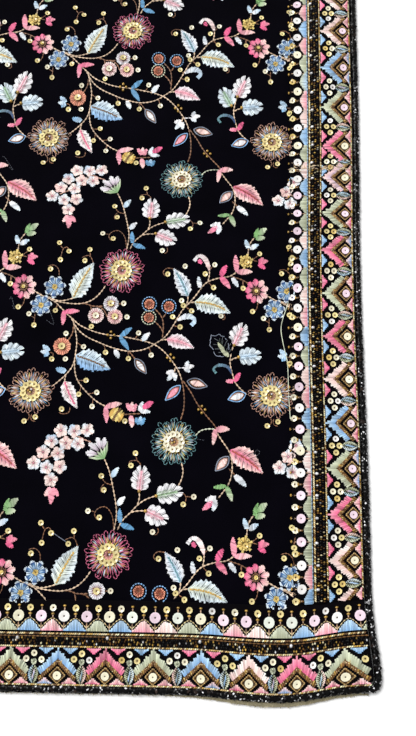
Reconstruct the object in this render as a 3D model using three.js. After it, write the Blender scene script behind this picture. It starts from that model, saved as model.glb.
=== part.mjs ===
// An embroidered velvet shawl laid out flat: one velvet field panel, four trim bands sewn on it round the
// edge, a beaded edging beyond the bands and a facing tape under each hem. Millimetres, +Z up, +X across the
// shawl and +Y along it. The origin is the middle of the cloth, on the surface that it lies on.
import * as THREE from 'three';

// ---- driving dimensions ----
const WIDTH = 711;            // finished width, over the beaded edging
const LENGTH = 2032;          // finished length, over the beaded edging
const VELVET_WALL = 1.8;      // velvet with its pile
const BAND_WALL = 1.2;        // ground cloth of the trim bands
const SEAM_GAP = 0.3;         // between pieces that are sewn together
const EDGING_WIDTH = 4.4;     // beaded edging, seen from above
const EDGING_HEIGHT = 3.6;    // side edging, from the floor
const HEM_EDGING_HEIGHT = 2.8;
const ROLL_SIDES = 8;         // sides of the edging's section
const CORNER_RADIUS = 7;      // outer corner of the shawl
const CORNER_TUCK = 1.2;      // how far the cloth's own corners are tucked in behind the round edging
const SIDE_BAND_WIDTH = 45.5; // outer edge of the shawl to the inner edge of a side band
const END_BAND_WIDTH = 49.5;  // the same for the bands across the two ends
const FACING_WALL = 0.8;
const FACING_UNDER = 4.1;     // facing tape under the edging
const FIELD_PITCH_X = 48;     // largest step between the field's columns
const FIELD_PITCH_Y = 46;
const CORNER_COLUMNS = [60, 76]; // extra columns, in from each side, where the hems wave most
const CORNER_TURNS = [90, 60, 30, 0]; // the edging's stations round a corner, in degrees
const CORNER_PITCH = 12;      // and up the band's end from there
const LEAST_STEP = 1;         // between two grid lines
const SLACK = 0.01;           // for telling whether a point is on an edge

const PANEL_EDGE = EDGING_WIDTH + SEAM_GAP;

// Height of a trim band over its ground wall, by share of the way in from its outer edge:
// the chevron band, the low channel of the gold cord, the raised bead band, and the scallops.
const BAND_RELIEF = [
  { share: 0.00, rise: 0.0 },
  { share: 0.05, rise: 0.5 },
  { share: 0.47, rise: 0.5 },
  { share: 0.51, rise: 0.1 },
  { share: 0.55, rise: 1.0 },
  { share: 0.65, rise: 1.0 },
  { share: 0.69, rise: 0.1 },
  { share: 0.80, rise: 0.4 },
  { share: 1.00, rise: 0.0 },
];

// Where a hem bows outwards (out > 0) or is drawn in, as soft bumps. End -1 is the front hem, +1 the back.
const HEM_WAVES = [
  { end: -1, x: 298, reach: 48, out: 2.6 },
  { end: -1, x: 356, reach: 52, out: -3.0 },
  { end: -1, x: 40, reach: 120, out: -1.4 },
  { end: -1, x: -210, reach: 90, out: 1.8 },
  { end: -1, x: -356, reach: 60, out: -2.0 },
  { end: 1, x: -270, reach: 60, out: 2.6 },
  { end: 1, x: -356, reach: 50, out: -2.4 },
  { end: 1, x: 60, reach: 130, out: -1.6 },
  { end: 1, x: 356, reach: 55, out: -2.2 },
];
// The same along the sides: side +1 is the +X edge.
const SIDE_WAVES = [
  { side: 1, y: -776, reach: 130, out: -1.5 },
  { side: 1, y: -300, reach: 170, out: -1.2 },
  { side: 1, y: 420, reach: 150, out: -1.8 },
  { side: -1, y: -560, reach: 160, out: -1.6 },
  { side: -1, y: 120, reach: 200, out: -1.3 },
  { side: -1, y: 700, reach: 140, out: -1.7 },
];
const SIDE_FADE = 120;        // a side's wave dies out this far in from its edge
const HEM_FADE = 76;          // and a hem's wave this far in
const CORNER_FLARE = 4.2;     // the end bands stand out past the side bands
const FLARE_LENGTH = 46;
const FLARE_FADE = 16;        // how far in past the edging the flare dies out

// Low ridges where the cloth doesn't lie quite flat: centre, direction of the crest from +X, size and rise.
const RIPPLES = [
  { x: 296, y: -985, turn: 90, length: 190, width: 130, rise: 1.8 },
  { x: -120, y: -820, turn: 68, length: 420, width: 150, rise: 3.2 },
  { x: -190, y: -420, turn: 112, length: 380, width: 140, rise: 2.6 },
  { x: 150, y: -300, turn: 80, length: 500, width: 160, rise: 3.4 },
  { x: -60, y: 40, turn: 100, length: 460, width: 150, rise: 2.4 },
  { x: 190, y: 330, turn: 62, length: 400, width: 150, rise: 3.0 },
  { x: -180, y: 480, turn: 84, length: 520, width: 160, rise: 3.6 },
  { x: 90, y: 800, turn: 118, length: 380, width: 140, rise: 2.8 },
];

// How far the facing tape shows past the hem's edging.
const FACING_LIP = 0.7;
const FACING_SHOWS = [
  { end: -1, x: 300, reach: 75, more: 2.1 },
  { end: -1, x: -180, reach: 90, more: 1.2 },
  { end: 1, x: -280, reach: 80, more: 2.1 },
  { end: 1, x: 120, reach: 110, more: 1.0 },
];

// ---- the cloth's shape ----
const HALF_WIDTH = WIDTH / 2;
const HALF_LENGTH = LENGTH / 2;

// A soft bump: 1 at 0, easing to 0 at -1 and 1.
const bump = (t) => (Math.abs(t) < 1 ? Math.cos((Math.PI * t) / 2) ** 2 : 0);
// 0 below 0, 1 above 1, and a smooth step between.
const ease = (t) => {
  const s = Math.min(1, Math.max(0, t));
  return s * s * (3 - 2 * s);
};

// Moves a point of the true rectangle to where the laid cloth has it.
function laid(x, y) {
  const fromEnd = HALF_LENGTH - Math.abs(y);
  const fromSide = HALF_WIDTH - Math.abs(x);
  const flare = ease((END_BAND_WIDTH - fromEnd) / FLARE_LENGTH);
  const flareFade = ease(1 - Math.max(0, fromSide - PANEL_EDGE) / FLARE_FADE);
  let dx = Math.sign(x) * CORNER_FLARE * flare * flareFade;
  let dy = 0;
  for (const wave of SIDE_WAVES) {
    if (wave.side * x > 0) {
      dx += wave.side * wave.out * bump((y - wave.y) / wave.reach) * ease(1 - fromSide / SIDE_FADE);
    }
  }
  for (const wave of HEM_WAVES) {
    if (wave.end * y > 0) {
      dy += wave.end * wave.out * bump((x - wave.x) / wave.reach) * ease(1 - fromEnd / HEM_FADE);
    }
  }
  return [x + dx, y + dy];
}

// Height of the cloth's underside over the floor.
function lift(x, y) {
  let z = 0;
  for (const ripple of RIPPLES) {
    const a = THREE.MathUtils.degToRad(ripple.turn);
    const along = (x - ripple.x) * Math.cos(a) + (y - ripple.y) * Math.sin(a);
    const across = (y - ripple.y) * Math.cos(a) - (x - ripple.x) * Math.sin(a);
    z += ripple.rise * bump(along / (ripple.length / 2)) * bump(across / (ripple.width / 2));
  }
  return z;
}

// Numbers from one end to the other in equal steps no longer than pitch.
function stations(from, to, pitch) {
  const count = Math.ceil((to - from) / pitch);
  return Array.from({ length: count + 1 }, (_, k) => from + ((to - from) * k) / count);
}

// The field's own grid. Whatever lies on the panel takes its height from these points.
const BAND_LINES = [0, 0.51, 0.69, 1];
const acrossBand = (edge, inner, shares) => shares.map((share) => edge + (inner - edge) * share);
const sideLines = acrossBand(PANEL_EDGE, SIDE_BAND_WIDTH, BAND_LINES);
const endLines = acrossBand(PANEL_EDGE, END_BAND_WIDTH, BAND_LINES);
const mirrored = (lines, half) => lines.map((u) => half - u).reverse();
const columnLines = [...sideLines, ...CORNER_COLUMNS];
const lastLine = HALF_WIDTH - CORNER_COLUMNS.at(-1);
const COLUMNS = [
  ...columnLines.map((u) => u - HALF_WIDTH),
  ...stations(-lastLine, lastLine, FIELD_PITCH_X).slice(1, -1),
  ...mirrored(columnLines, HALF_WIDTH),
];
const ROWS = [
  ...endLines.map((u) => u - HALF_LENGTH),
  ...stations(END_BAND_WIDTH - HALF_LENGTH, HALF_LENGTH - END_BAND_WIDTH, FIELD_PITCH_Y).slice(1, -1),
  ...mirrored(endLines, HALF_LENGTH),
];

// The cell of a sorted list that holds a value, and how far through the cell the value is.
function cellOf(list, value) {
  let k = 0;
  while (k < list.length - 2 && list[k + 1] < value) k += 1;
  return [k, Math.min(1, Math.max(0, (value - list[k]) / (list[k + 1] - list[k])))];
}

// Height of the panel's faceted underside at any point.
function clothHeight(x, y) {
  const [i, s] = cellOf(COLUMNS, x);
  const [j, t] = cellOf(ROWS, y);
  const near = (1 - s) * lift(COLUMNS[i], ROWS[j]) + s * lift(COLUMNS[i + 1], ROWS[j]);
  const far = (1 - s) * lift(COLUMNS[i], ROWS[j + 1]) + s * lift(COLUMNS[i + 1], ROWS[j + 1]);
  return (1 - t) * near + t * far;
}

// ---- solids ----
const material = (color, roughness) => new THREE.MeshStandardMaterial({ color, roughness });
const VELVET = material(0x0d0b11, 0.95);
const BAND_CLOTH = material(0x141017, 0.9);
const BLACK_BEADS = material(0x08080a, 0.2);
const FACING_CLOTH = material(0x8f8567, 0.9);

function solid(points, faces, name, look) {
  const geometry = new THREE.BufferGeometry();
  geometry.setAttribute('position', new THREE.Float32BufferAttribute(points.flat(), 3));
  geometry.setIndex(faces.flat());
  geometry.computeVertexNormals();
  const mesh = new THREE.Mesh(geometry, look);
  mesh.name = name;
  return mesh;
}

// A closed sheet over a grid of columns and rows. place(x, y) gives each point's place on the floor,
// and under and over give the heights of its two faces.
function sheet(name, look, columns, rows, place, under, over) {
  const nx = columns.length;
  const ny = rows.length;
  const points = [];
  for (const height of [under, over]) {
    for (const y of rows) {
      for (const x of columns) {
        points.push([...place(x, y), height(x, y)]);
      }
    }
  }
  const at = (layer, i, j) => layer * nx * ny + j * nx + i;
  const faces = [];
  for (let j = 0; j < ny - 1; j += 1) {
    for (let i = 0; i < nx - 1; i += 1) {
      const [a, b, c, d] = [at(0, i, j), at(0, i + 1, j), at(0, i + 1, j + 1), at(0, i, j + 1)];
      const [e, f, g, h] = [at(1, i, j), at(1, i + 1, j), at(1, i + 1, j + 1), at(1, i, j + 1)];
      faces.push([a, d, c], [a, c, b], [e, g, h], [e, f, g]);
    }
  }
  const wall = (a, b) => {
    faces.push([at(0, ...a), at(0, ...b), at(1, ...b)], [at(0, ...a), at(1, ...b), at(1, ...a)]);
  };
  for (let i = 0; i < nx - 1; i += 1) {
    wall([i, 0], [i + 1, 0]);
    wall([i + 1, ny - 1], [i, ny - 1]);
  }
  for (let j = 0; j < ny - 1; j += 1) {
    wall([nx - 1, j], [nx - 1, j + 1]);
    wall([0, j + 1], [0, j]);
  }
  return solid(points, faces, name, look);
}

// A closed roll along stations of { at: [x, y], out: [x, y], base: z }, with a many-sided section that is
// width wide and height high and stands on its base. out points away from the cloth.
function roll(name, look, path, width, height) {
  const flat = Math.cos(Math.PI / ROLL_SIDES);
  const points = [];
  for (const { at: [x, y], out: [ox, oy], base } of path) {
    for (let k = 0; k < ROLL_SIDES; k += 1) {
      const a = ((k + 0.5) / ROLL_SIDES) * 2 * Math.PI;
      const across = ((Math.cos(a) / flat) * width) / 2;
      const rise = (height + (Math.sin(a) / flat) * height) / 2;
      points.push([x + ox * across, y + oy * across, base + rise]);
    }
  }
  const faces = [];
  for (let j = 0; j < path.length - 1; j += 1) {
    for (let k = 0; k < ROLL_SIDES; k += 1) {
      const a = j * ROLL_SIDES + k;
      const b = j * ROLL_SIDES + ((k + 1) % ROLL_SIDES);
      faces.push([a, b, b + ROLL_SIDES], [a, b + ROLL_SIDES, a + ROLL_SIDES]);
    }
  }
  const last = (path.length - 1) * ROLL_SIDES;
  for (let k = 1; k < ROLL_SIDES - 1; k += 1) {
    faces.push([0, k + 1, k], [last, last + k, last + k + 1]);
  }
  return solid(points, faces, name, look);
}

// ---- the pieces ----
// The cloth's corners are tucked in, so that the edging can go round them.
function tucked(x, y) {
  const atSide = Math.abs(x) > HALF_WIDTH - PANEL_EDGE - SLACK;
  const atEnd = Math.abs(y) > HALF_LENGTH - PANEL_EDGE - SLACK;
  const tuck = atSide && atEnd ? CORNER_TUCK : 0;
  return laid(x - Math.sign(x) * tuck, y - Math.sign(y) * tuck);
}

function fieldPanel() {
  const face = (x, y) => clothHeight(x, y) + VELVET_WALL;
  return sheet('field_panel', VELVET, COLUMNS, ROWS, tucked, clothHeight, face);
}

const RELIEF_SHARES = BAND_RELIEF.map((row) => row.share);
const bandFloor = (x, y) => clothHeight(x, y) + VELVET_WALL + SEAM_GAP;

// Height of a band's face, u millimetres in from the shawl's outer edge.
function bandFace(x, y, u, inner) {
  const [k, s] = cellOf(RELIEF_SHARES, (u - PANEL_EDGE) / (inner - PANEL_EDGE));
  const rise = (1 - s) * BAND_RELIEF[k].rise + s * BAND_RELIEF[k + 1].rise;
  return bandFloor(x, y) + BAND_WALL + rise;
}

// A side band runs between the two end bands, which lie across it.
function sideBand(name, side) {
  const lines = acrossBand(PANEL_EDGE, SIDE_BAND_WIDTH, RELIEF_SHARES);
  const columns = side > 0 ? mirrored(lines, HALF_WIDTH) : lines.map((u) => u - HALF_WIDTH);
  const stop = HALF_LENGTH - END_BAND_WIDTH - SEAM_GAP;
  const rows = [-stop, ...ROWS.filter((y) => Math.abs(y) < stop), stop];
  const face = (x, y) => bandFace(x, y, HALF_WIDTH - Math.abs(x), SIDE_BAND_WIDTH);
  return sheet(name, BAND_CLOTH, columns, rows, laid, bandFloor, face);
}

function endBand(name, end) {
  const lines = acrossBand(PANEL_EDGE, END_BAND_WIDTH, RELIEF_SHARES);
  const rows = end > 0 ? mirrored(lines, HALF_LENGTH) : lines.map((u) => u - HALF_LENGTH);
  const face = (x, y) => bandFace(x, y, HALF_LENGTH - Math.abs(y), END_BAND_WIDTH);
  return sheet(name, BAND_CLOTH, COLUMNS, rows, tucked, bandFloor, face);
}

// The side edging stands on the floor beside the cloth's edge and stops where the hem's edging begins.
function sideEdging(name, side) {
  const x = side * (HALF_WIDTH - EDGING_WIDTH / 2);
  const stop = HALF_LENGTH - END_BAND_WIDTH - SEAM_GAP;
  const path = stations(-stop, stop, FIELD_PITCH_Y).map((y) => ({
    at: laid(x, -side * y),
    out: [side, 0],
    base: clothHeight(x, -side * y),
  }));
  return roll(name, BLACK_BEADS, path, EDGING_WIDTH, EDGING_HEIGHT);
}

// The hem's edging goes up one short end of the band, round the corner, along the hem and up the other end.
function hemEdging(name, end) {
  const r = CORNER_RADIUS - EDGING_WIDTH / 2;
  const cx = HALF_WIDTH - CORNER_RADIUS;
  const cy = HALF_LENGTH - CORNER_RADIUS;
  const top = HALF_LENGTH - END_BAND_WIDTH;
  const half = [];
  for (const x of COLUMNS.filter((c) => c > LEAST_STEP && c < cx - LEAST_STEP)) {
    half.push({ at: [x, cy + r], out: [0, 1] });
  }
  for (const a of CORNER_TURNS.map(THREE.MathUtils.degToRad)) {
    half.push({ at: [cx + r * Math.cos(a), cy + r * Math.sin(a)], out: [Math.cos(a), Math.sin(a)] });
  }
  for (const y of stations(top, cy, CORNER_PITCH).reverse().slice(1)) {
    half.push({ at: [cx + r, y], out: [1, 0] });
  }
  const flip = ({ at: [x, y], out: [ox, oy] }) => ({ at: [-x, y], out: [-ox, oy] });
  const path = [...half.map(flip).reverse(), ...half].map(({ at: [x, y], out: [ox, oy] }) => ({
    at: laid(end * x, end * y),
    out: [end * ox, end * oy],
    base: clothHeight(end * x, end * y) + FACING_WALL + SEAM_GAP,
  }));
  return roll(name, BLACK_BEADS, path, EDGING_WIDTH, HEM_EDGING_HEIGHT);
}

// A flat tape under the hem's edging, which shows past it by a changing lip.
function hemFacing(name, end) {
  const reach = HALF_WIDTH - CORNER_RADIUS;
  const columns = [-reach, ...COLUMNS.filter((x) => Math.abs(x) < reach - LEAST_STEP), reach];
  const shows = (x) => {
    let lip = FACING_LIP;
    for (const row of FACING_SHOWS) {
      lip += row.end === end ? row.more * bump((x - row.x) / row.reach) : 0;
    }
    return lip;
  };
  const inner = HALF_LENGTH - FACING_UNDER;
  const rows = end > 0 ? [inner, HALF_LENGTH] : [-HALF_LENGTH, -inner];
  const place = (x, y) => {
    const [px, py] = laid(x, y);
    return [px, py + (Math.abs(y) > inner + SLACK ? end * shows(x) : 0)];
  };
  const face = (x, y) => clothHeight(x, y) + FACING_WALL;
  return sheet(name, FACING_CLOTH, columns, rows, place, clothHeight, face);
}

const shawl = new THREE.Group();
shawl.add(fieldPanel());
for (const [label, sign] of [['right', 1], ['left', -1]]) {
  shawl.add(sideBand(`side_band_${label}`, sign), sideEdging(`side_edging_${label}`, sign));
}
for (const [label, sign] of [['front', -1], ['back', 1]]) {
  shawl.add(endBand(`end_band_${label}`, sign));
  shawl.add(hemEdging(`hem_edging_${label}`, sign));
  shawl.add(hemFacing(`hem_facing_${label}`, sign));
}

export default shawl;
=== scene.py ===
"""An embroidered velvet shawl laid out flat, dressed over its frame.

Everything is worked out in millimetres on the flat, uncreased cloth and then settled: the same soft waves and
low ridges that the frame's own cloth has carry every stitch, spangle and bead with them.
"""
import logging
import math
import re
from collections.abc import Callable, Sequence
from dataclasses import dataclass, field
from enum import Enum
from typing import TypeVar

import bmesh
import bpy
import numpy as np
from mathutils import Matrix, Vector


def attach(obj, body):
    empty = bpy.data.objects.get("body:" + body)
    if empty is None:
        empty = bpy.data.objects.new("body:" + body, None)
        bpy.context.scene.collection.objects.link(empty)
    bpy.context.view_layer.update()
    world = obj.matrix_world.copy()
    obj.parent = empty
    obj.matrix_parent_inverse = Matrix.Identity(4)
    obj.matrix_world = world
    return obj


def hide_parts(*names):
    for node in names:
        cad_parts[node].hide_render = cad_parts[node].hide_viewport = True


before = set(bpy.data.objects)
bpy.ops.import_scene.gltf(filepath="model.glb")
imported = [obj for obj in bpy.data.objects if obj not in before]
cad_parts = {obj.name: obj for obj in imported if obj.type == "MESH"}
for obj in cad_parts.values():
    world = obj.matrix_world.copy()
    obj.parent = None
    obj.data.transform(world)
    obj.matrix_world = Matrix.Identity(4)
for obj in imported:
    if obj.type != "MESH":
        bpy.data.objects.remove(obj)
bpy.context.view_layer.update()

LOG = logging.getLogger("shawl")
MM = 0.001
SEED = 20
Array = np.ndarray
Spot = tuple[float, float]
Motif = TypeVar("Motif")


class Dye(Enum):
    """Thread, spangle and bead colours, as screen values in hexadecimal."""

    RASPBERRY = "c45f80"
    HOT_PINK = "e2608c"
    ROSE = "ee98aa"
    BLUSH = "f6cfc8"
    PEARL = "f9e3dc"
    MAUVE = "c6adc0"
    BLUE = "7ba8d6"
    AZURE = "5f98c2"
    DEEP_BLUE = "1b3773"
    SKY = "b0cde4"
    ICE = "d6e3ec"
    WHITE = "ecebee"
    SAGE = "adb292"
    WILLOW = "cbd1b8"
    GREEN = "76a565"
    TEAL = "5f8c92"
    SLATE = "767e8f"
    TAN = "b98d7b"
    ORANGE = "d6714c"
    PEACH = "efa184"
    RED_BROWN = "a5503c"
    GOLD = "c9a04c"
    YELLOW = "e0c876"
    BRONZE = "6d4a20"
    BROWN = "855b3e"
    STEM = "d8bb9e"
    SPANGLE_GOLD = "f4e29e"
    SPANGLE_CREAM = "faf4d6"
    SPANGLE_WHITE = "fdfbf8"
    SPANGLE_PINK = "f9e0ee"
    SPANGLE_GREEN = "e8eee2"
    SPANGLE_OLD = "e6c978"
    HOLE = "6a471c"
    JET = "080708"
    SOOT = "2a201c"
    CORD = "dcbb7c"
    CORD_LIGHT = "f6e6b8"
    LINEN = "a49a7c"
    NIGHT = "05040a"
    BAND = "080609"

    def linear(self) -> Array:
        """The dye as a scene-linear colour."""
        screen = np.array([int(self.value[k:k + 2], 16) / 255 for k in (0, 2, 4)])
        return np.where(screen <= 0.04045, screen / 12.92, ((screen + 0.055) / 1.055) ** 2.4)


def bump(t: Array) -> Array:
    """A soft bump: 1 at 0, easing to 0 at -1 and 1."""
    return np.where(np.abs(t) < 1, np.cos(np.pi * np.clip(t, -1, 1) / 2) ** 2, 0.0)


def ease(t: Array) -> Array:
    """0 below 0, 1 above 1, and a smooth step between."""
    share = np.clip(t, 0, 1)
    return share * share * (3 - 2 * share)


@dataclass(frozen=True)
class Wave:
    """A stretch where an edge bows outwards, or is drawn in where out is below 0."""

    side: int
    at: float
    reach: float
    out: float


@dataclass(frozen=True)
class Ripple:
    """A low ridge in the cloth: its middle, the direction of its crest from +X, its size and its rise."""

    x: float
    y: float
    turn: float
    length: float
    width: float
    rise: float


@dataclass(frozen=True)
class Drift:
    """A stretch of cloth where the needlework wanders along the shawl."""

    at: float
    reach: float
    shift: float


HEM_WAVES = (
    Wave(-1, 298, 48, 2.6), Wave(-1, 356, 52, -3.0), Wave(-1, 40, 120, -1.4), Wave(-1, -210, 90, 1.8),
    Wave(-1, -356, 60, -2.0), Wave(1, -270, 60, 2.6), Wave(1, -356, 50, -2.4), Wave(1, 60, 130, -1.6),
    Wave(1, 356, 55, -2.2),
)
SIDE_WAVES = (
    Wave(1, -776, 130, -1.5), Wave(1, -300, 170, -1.2), Wave(1, 420, 150, -1.8),
    Wave(-1, -560, 160, -1.6), Wave(-1, 120, 200, -1.3), Wave(-1, 700, 140, -1.7),
)
RIPPLES = (
    Ripple(296, -985, 90, 190, 130, 1.8), Ripple(-120, -820, 68, 420, 150, 3.2),
    Ripple(-190, -420, 112, 380, 140, 2.6), Ripple(150, -300, 80, 500, 160, 3.4),
    Ripple(-60, 40, 100, 460, 150, 2.4), Ripple(190, 330, 62, 400, 150, 3.0),
    Ripple(-180, 480, 84, 520, 160, 3.6), Ripple(90, 800, 118, 380, 140, 2.8),
)
DRIFTS = (
    Drift(-758, 38, 2.2), Drift(-675, 60, -2.9), Drift(-596, 60, 1.8), Drift(-450, 90, -1.6),
    Drift(-250, 110, 2.0), Drift(-30, 120, -1.8), Drift(200, 100, 1.7), Drift(410, 120, -2.1),
    Drift(650, 110, 1.5), Drift(840, 90, -1.4),
)


@dataclass(frozen=True)
class LaidCloth:
    """The shawl's flat sizes in millimetres, and how the cloth lies on the table.

    The origin is the middle of the shawl, on the table. A place is given on the true, flat rectangle.
    """

    width: float = 711.0
    length: float = 2032.0
    velvet: float = 1.8
    seam_gap: float = 0.3
    band_wall: float = 1.2
    edge: float = 4.7
    side_band: float = 45.5
    end_band: float = 49.5
    wave_fade: float = 120.0
    hem_fade: float = 76.0
    flare_fade: float = 16.0
    corner_rise: float = 2.6
    corner_flare: float = 4.2
    flare_length: float = 46.0
    corner_reach: float = 46.0
    corner_fade: float = 70.0
    relief_shares: tuple[float, ...] = (0.0, 0.05, 0.47, 0.51, 0.55, 0.65, 0.69, 0.80, 1.0)
    relief_rises: tuple[float, ...] = (0.0, 0.5, 0.5, 0.1, 1.0, 1.0, 0.1, 0.4, 0.0)

    def shifted(self, x: Array, y: Array) -> tuple[Array, Array]:
        """Moves places on the true rectangle to where the laid cloth has them.

        Args:
            x: Places across the shawl.
            y: Places along it.

        Returns:
            The moved x and y.
        """
        from_end = self.length / 2 - np.abs(y)
        from_side = self.width / 2 - np.abs(x)
        side_fade = ease(1 - from_side / self.wave_fade)
        end_fade = ease(1 - from_end / self.hem_fade)
        flare = ease((self.end_band - from_end) / self.flare_length)
        flare = flare * ease(1 - np.maximum(0, from_side - self.edge) / self.flare_fade)
        dx = np.sign(x) * self.corner_flare * flare
        reach = self.corner_reach
        corner = ease(1 - from_side / reach) * ease(from_end / reach)
        corner = corner * ease(1 - (from_end - reach) / self.corner_fade)
        dy = -np.sign(y) * self.corner_rise * corner
        for wave in SIDE_WAVES:
            held = wave.side * x > 0
            dx = dx + held * wave.side * wave.out * bump((y - wave.at) / wave.reach) * side_fade
        for wave in HEM_WAVES:
            held = wave.side * y > 0
            dy = dy + held * wave.side * wave.out * bump((x - wave.at) / wave.reach) * end_fade
        return x + dx, y + dy

    def lift(self, x: Array, y: Array) -> Array:
        """How high the cloth's underside is over the table."""
        z = np.zeros(np.shape(x))
        for ripple in RIPPLES:
            turn = math.radians(ripple.turn)
            along = (x - ripple.x) * math.cos(turn) + (y - ripple.y) * math.sin(turn)
            across = (y - ripple.y) * math.cos(turn) - (x - ripple.x) * math.sin(turn)
            z = z + ripple.rise * bump(2 * along / ripple.length) * bump(2 * across / ripple.width)
        return z

    def band_face(self, inset: Array, inner: float) -> Array:
        """Height of a trim band's face over the cloth's underside.

        Args:
            inset: How far in from the shawl's outer edge.
            inner: The band's inner edge, measured the same way.

        Returns:
            The heights in millimetres.
        """
        share = (inset - self.edge) / (inner - self.edge)
        rise = np.interp(share, self.relief_shares, self.relief_rises)
        return self.velvet + self.seam_gap + self.band_wall + rise

    def face(self, x: Array, y: Array) -> Array:
        """Height of whatever cloth lies uppermost at a place, over the cloth's underside."""
        from_end = self.length / 2 - np.abs(y)
        from_side = self.width / 2 - np.abs(x)
        side = np.where(from_side < self.side_band, self.band_face(from_side, self.side_band), self.velvet)
        return np.where(from_end < self.end_band, self.band_face(from_end, self.end_band), side)

    def settle(self, points: Array, sewn: bool = False) -> Array:
        """Lays flat points on the table.

        Args:
            points: Rows of x, y and height in millimetres.
            sewn: Needlework, which wanders a little and whose height counts from the cloth's face.

        Returns:
            The same rows in metres, where the laid cloth has them.
        """
        x, y, z = points[:, 0], points[:, 1], points[:, 2]
        if sewn:
            z = z + self.face(x, y)
            for drift in DRIFTS:
                y = y + drift.shift * bump((y - drift.at) / drift.reach)
        z = z + self.lift(x, y)
        x, y = self.shifted(x, y)
        return np.stack([x, y, z], axis=1) * MM


CLOTH = LaidCloth()


class Shape(Enum):
    """The small shapes that everything sewn on the cloth is made of."""

    WEDGE = "a thread that starts blunt and ends in a point"
    STRIP = "a flat thread with two blunt ends"
    SPINDLE = "a thread with two points"
    TWIST = "a strand of a twisted cord"
    STUD = "a four-sided stud, for cut beads"
    SPANGLE = "a small cupped sequin"
    DISC = "a large flat sequin"
    BEAD = "a round bead"


@dataclass(frozen=True)
class Solid:
    """A plain shape in millimetres: its corners, its triangles and its linear colour."""

    points: Array
    triangles: Array
    dye: Array


def read_off(bm: bmesh.types.BMesh) -> tuple[Array, Array]:
    """Reads the corners and triangles of a finished bmesh and frees it."""
    bmesh.ops.triangulate(bm, faces=bm.faces)
    bm.verts.index_update()
    corners = np.array([v.co[:] for v in bm.verts])
    triangles = np.array([[v.index for v in f.verts] for f in bm.faces])
    bm.free()
    return corners, triangles


@dataclass(frozen=True)
class Stamp:
    """A shape to repeat: its corners, its triangles, and how far each corner is towards the second dye."""

    corners: Array
    triangles: Array
    tone: Array


def stamp_of(bm: bmesh.types.BMesh, tone: Callable[[Vector], float]) -> Stamp:
    """Reads a finished bmesh as a stamp and frees it.

    Args:
        bm: The shape in its own unit space.
        tone: Gives each corner's share of the second dye.

    Returns:
        The stamp.
    """
    corners, triangles = read_off(bm)
    return Stamp(corners, triangles, np.array([tone(Vector(corner)) for corner in corners]))


def wedge_stamp() -> Stamp:
    """A thread with a ridge, from its full width at x 0 to a point at x 1."""
    bm = bmesh.new()
    bmesh.ops.create_grid(bm, x_segments=1, y_segments=2, size=1)
    for v in bm.verts:
        v.co = ((v.co.x + 1) / 2, v.co.y, 1.0 if abs(v.co.y) < 0.5 else 0.0)
    bmesh.ops.pointmerge(bm, verts=[v for v in bm.verts if v.co.x > 0.5], merge_co=(1, 0, 0.4))
    return stamp_of(bm, lambda co: co.x)


def strip_stamp() -> Stamp:
    """A flat thread from x 0 to x 1, one long side a little higher than the other."""
    bm = bmesh.new()
    bmesh.ops.create_grid(bm, x_segments=1, y_segments=1, size=1)
    for v in bm.verts:
        v.co = ((v.co.x + 1) / 2, v.co.y, 0.8 if v.co.y < 0 else 1.0)
    return stamp_of(bm, lambda co: co.x)


def spindle_stamp() -> Stamp:
    """A thread from x 0 to x 1 with two points, as one fold."""
    bm = bmesh.new()
    bmesh.ops.create_circle(bm, cap_ends=True, segments=4, radius=1)
    for v in bm.verts:
        v.co = ((v.co.x + 1) / 2, v.co.y, 0.7 if abs(v.co.y) < 0.5 else 0.0)
    bmesh.ops.connect_vert_pair(bm, verts=[v for v in bm.verts if abs(v.co.y) < 0.5])
    return stamp_of(bm, lambda co: co.x)


def ring_stamp(segments: int, rings: Sequence[tuple[float, float, float]]) -> Stamp:
    """A round spangle made of rings, from its rim inwards.

    Args:
        segments: Sides of each ring.
        rings: Radius, height and share of the second dye for each ring.

    Returns:
        The stamp.
    """
    bm = bmesh.new()
    made = bmesh.ops.create_circle(bm, cap_ends=False, segments=segments, radius=rings[0][0])
    bmesh.ops.translate(bm, verts=made["verts"], vec=(0, 0, rings[0][1]))
    edges = bm.edges[:]
    for (before, _, _), (radius, height, _) in zip(rings, rings[1:]):
        grown = bmesh.ops.extrude_edge_only(bm, edges=edges)["geom"]
        verts = [g for g in grown if isinstance(g, bmesh.types.BMVert)]
        edges = [g for g in grown if isinstance(g, bmesh.types.BMEdge)]
        bmesh.ops.scale(bm, verts=verts, vec=(radius / before, radius / before, 1))
        for v in verts:
            v.co.z = height
    bmesh.ops.recalc_face_normals(bm, faces=bm.faces)
    if sum(f.normal.z for f in bm.faces) < 0:
        bmesh.ops.reverse_faces(bm, faces=bm.faces)
    radii = [r for r, _, _ in reversed(rings)]
    tones = [t for _, _, t in reversed(rings)]
    return stamp_of(bm, lambda co: float(np.interp(math.hypot(co.x, co.y), radii, tones)))


def stud_stamp() -> Stamp:
    """A four-sided stud with its peak in the middle."""
    bm = bmesh.new()
    bmesh.ops.create_circle(bm, cap_ends=True, cap_tris=True, segments=4, radius=1)
    for v in bm.verts:
        v.co.z = 1.0 if v.co.length < 0.5 else 0.0
    return stamp_of(bm, lambda co: co.z)


def bead_stamp() -> Stamp:
    """A round bead, whose second colour covers its underside: there the beads take a painted shade."""
    bm = bmesh.new()
    bmesh.ops.create_icosphere(bm, subdivisions=1, radius=1)
    return stamp_of(bm, lambda co: 0.5 - co.z / 2)


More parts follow.
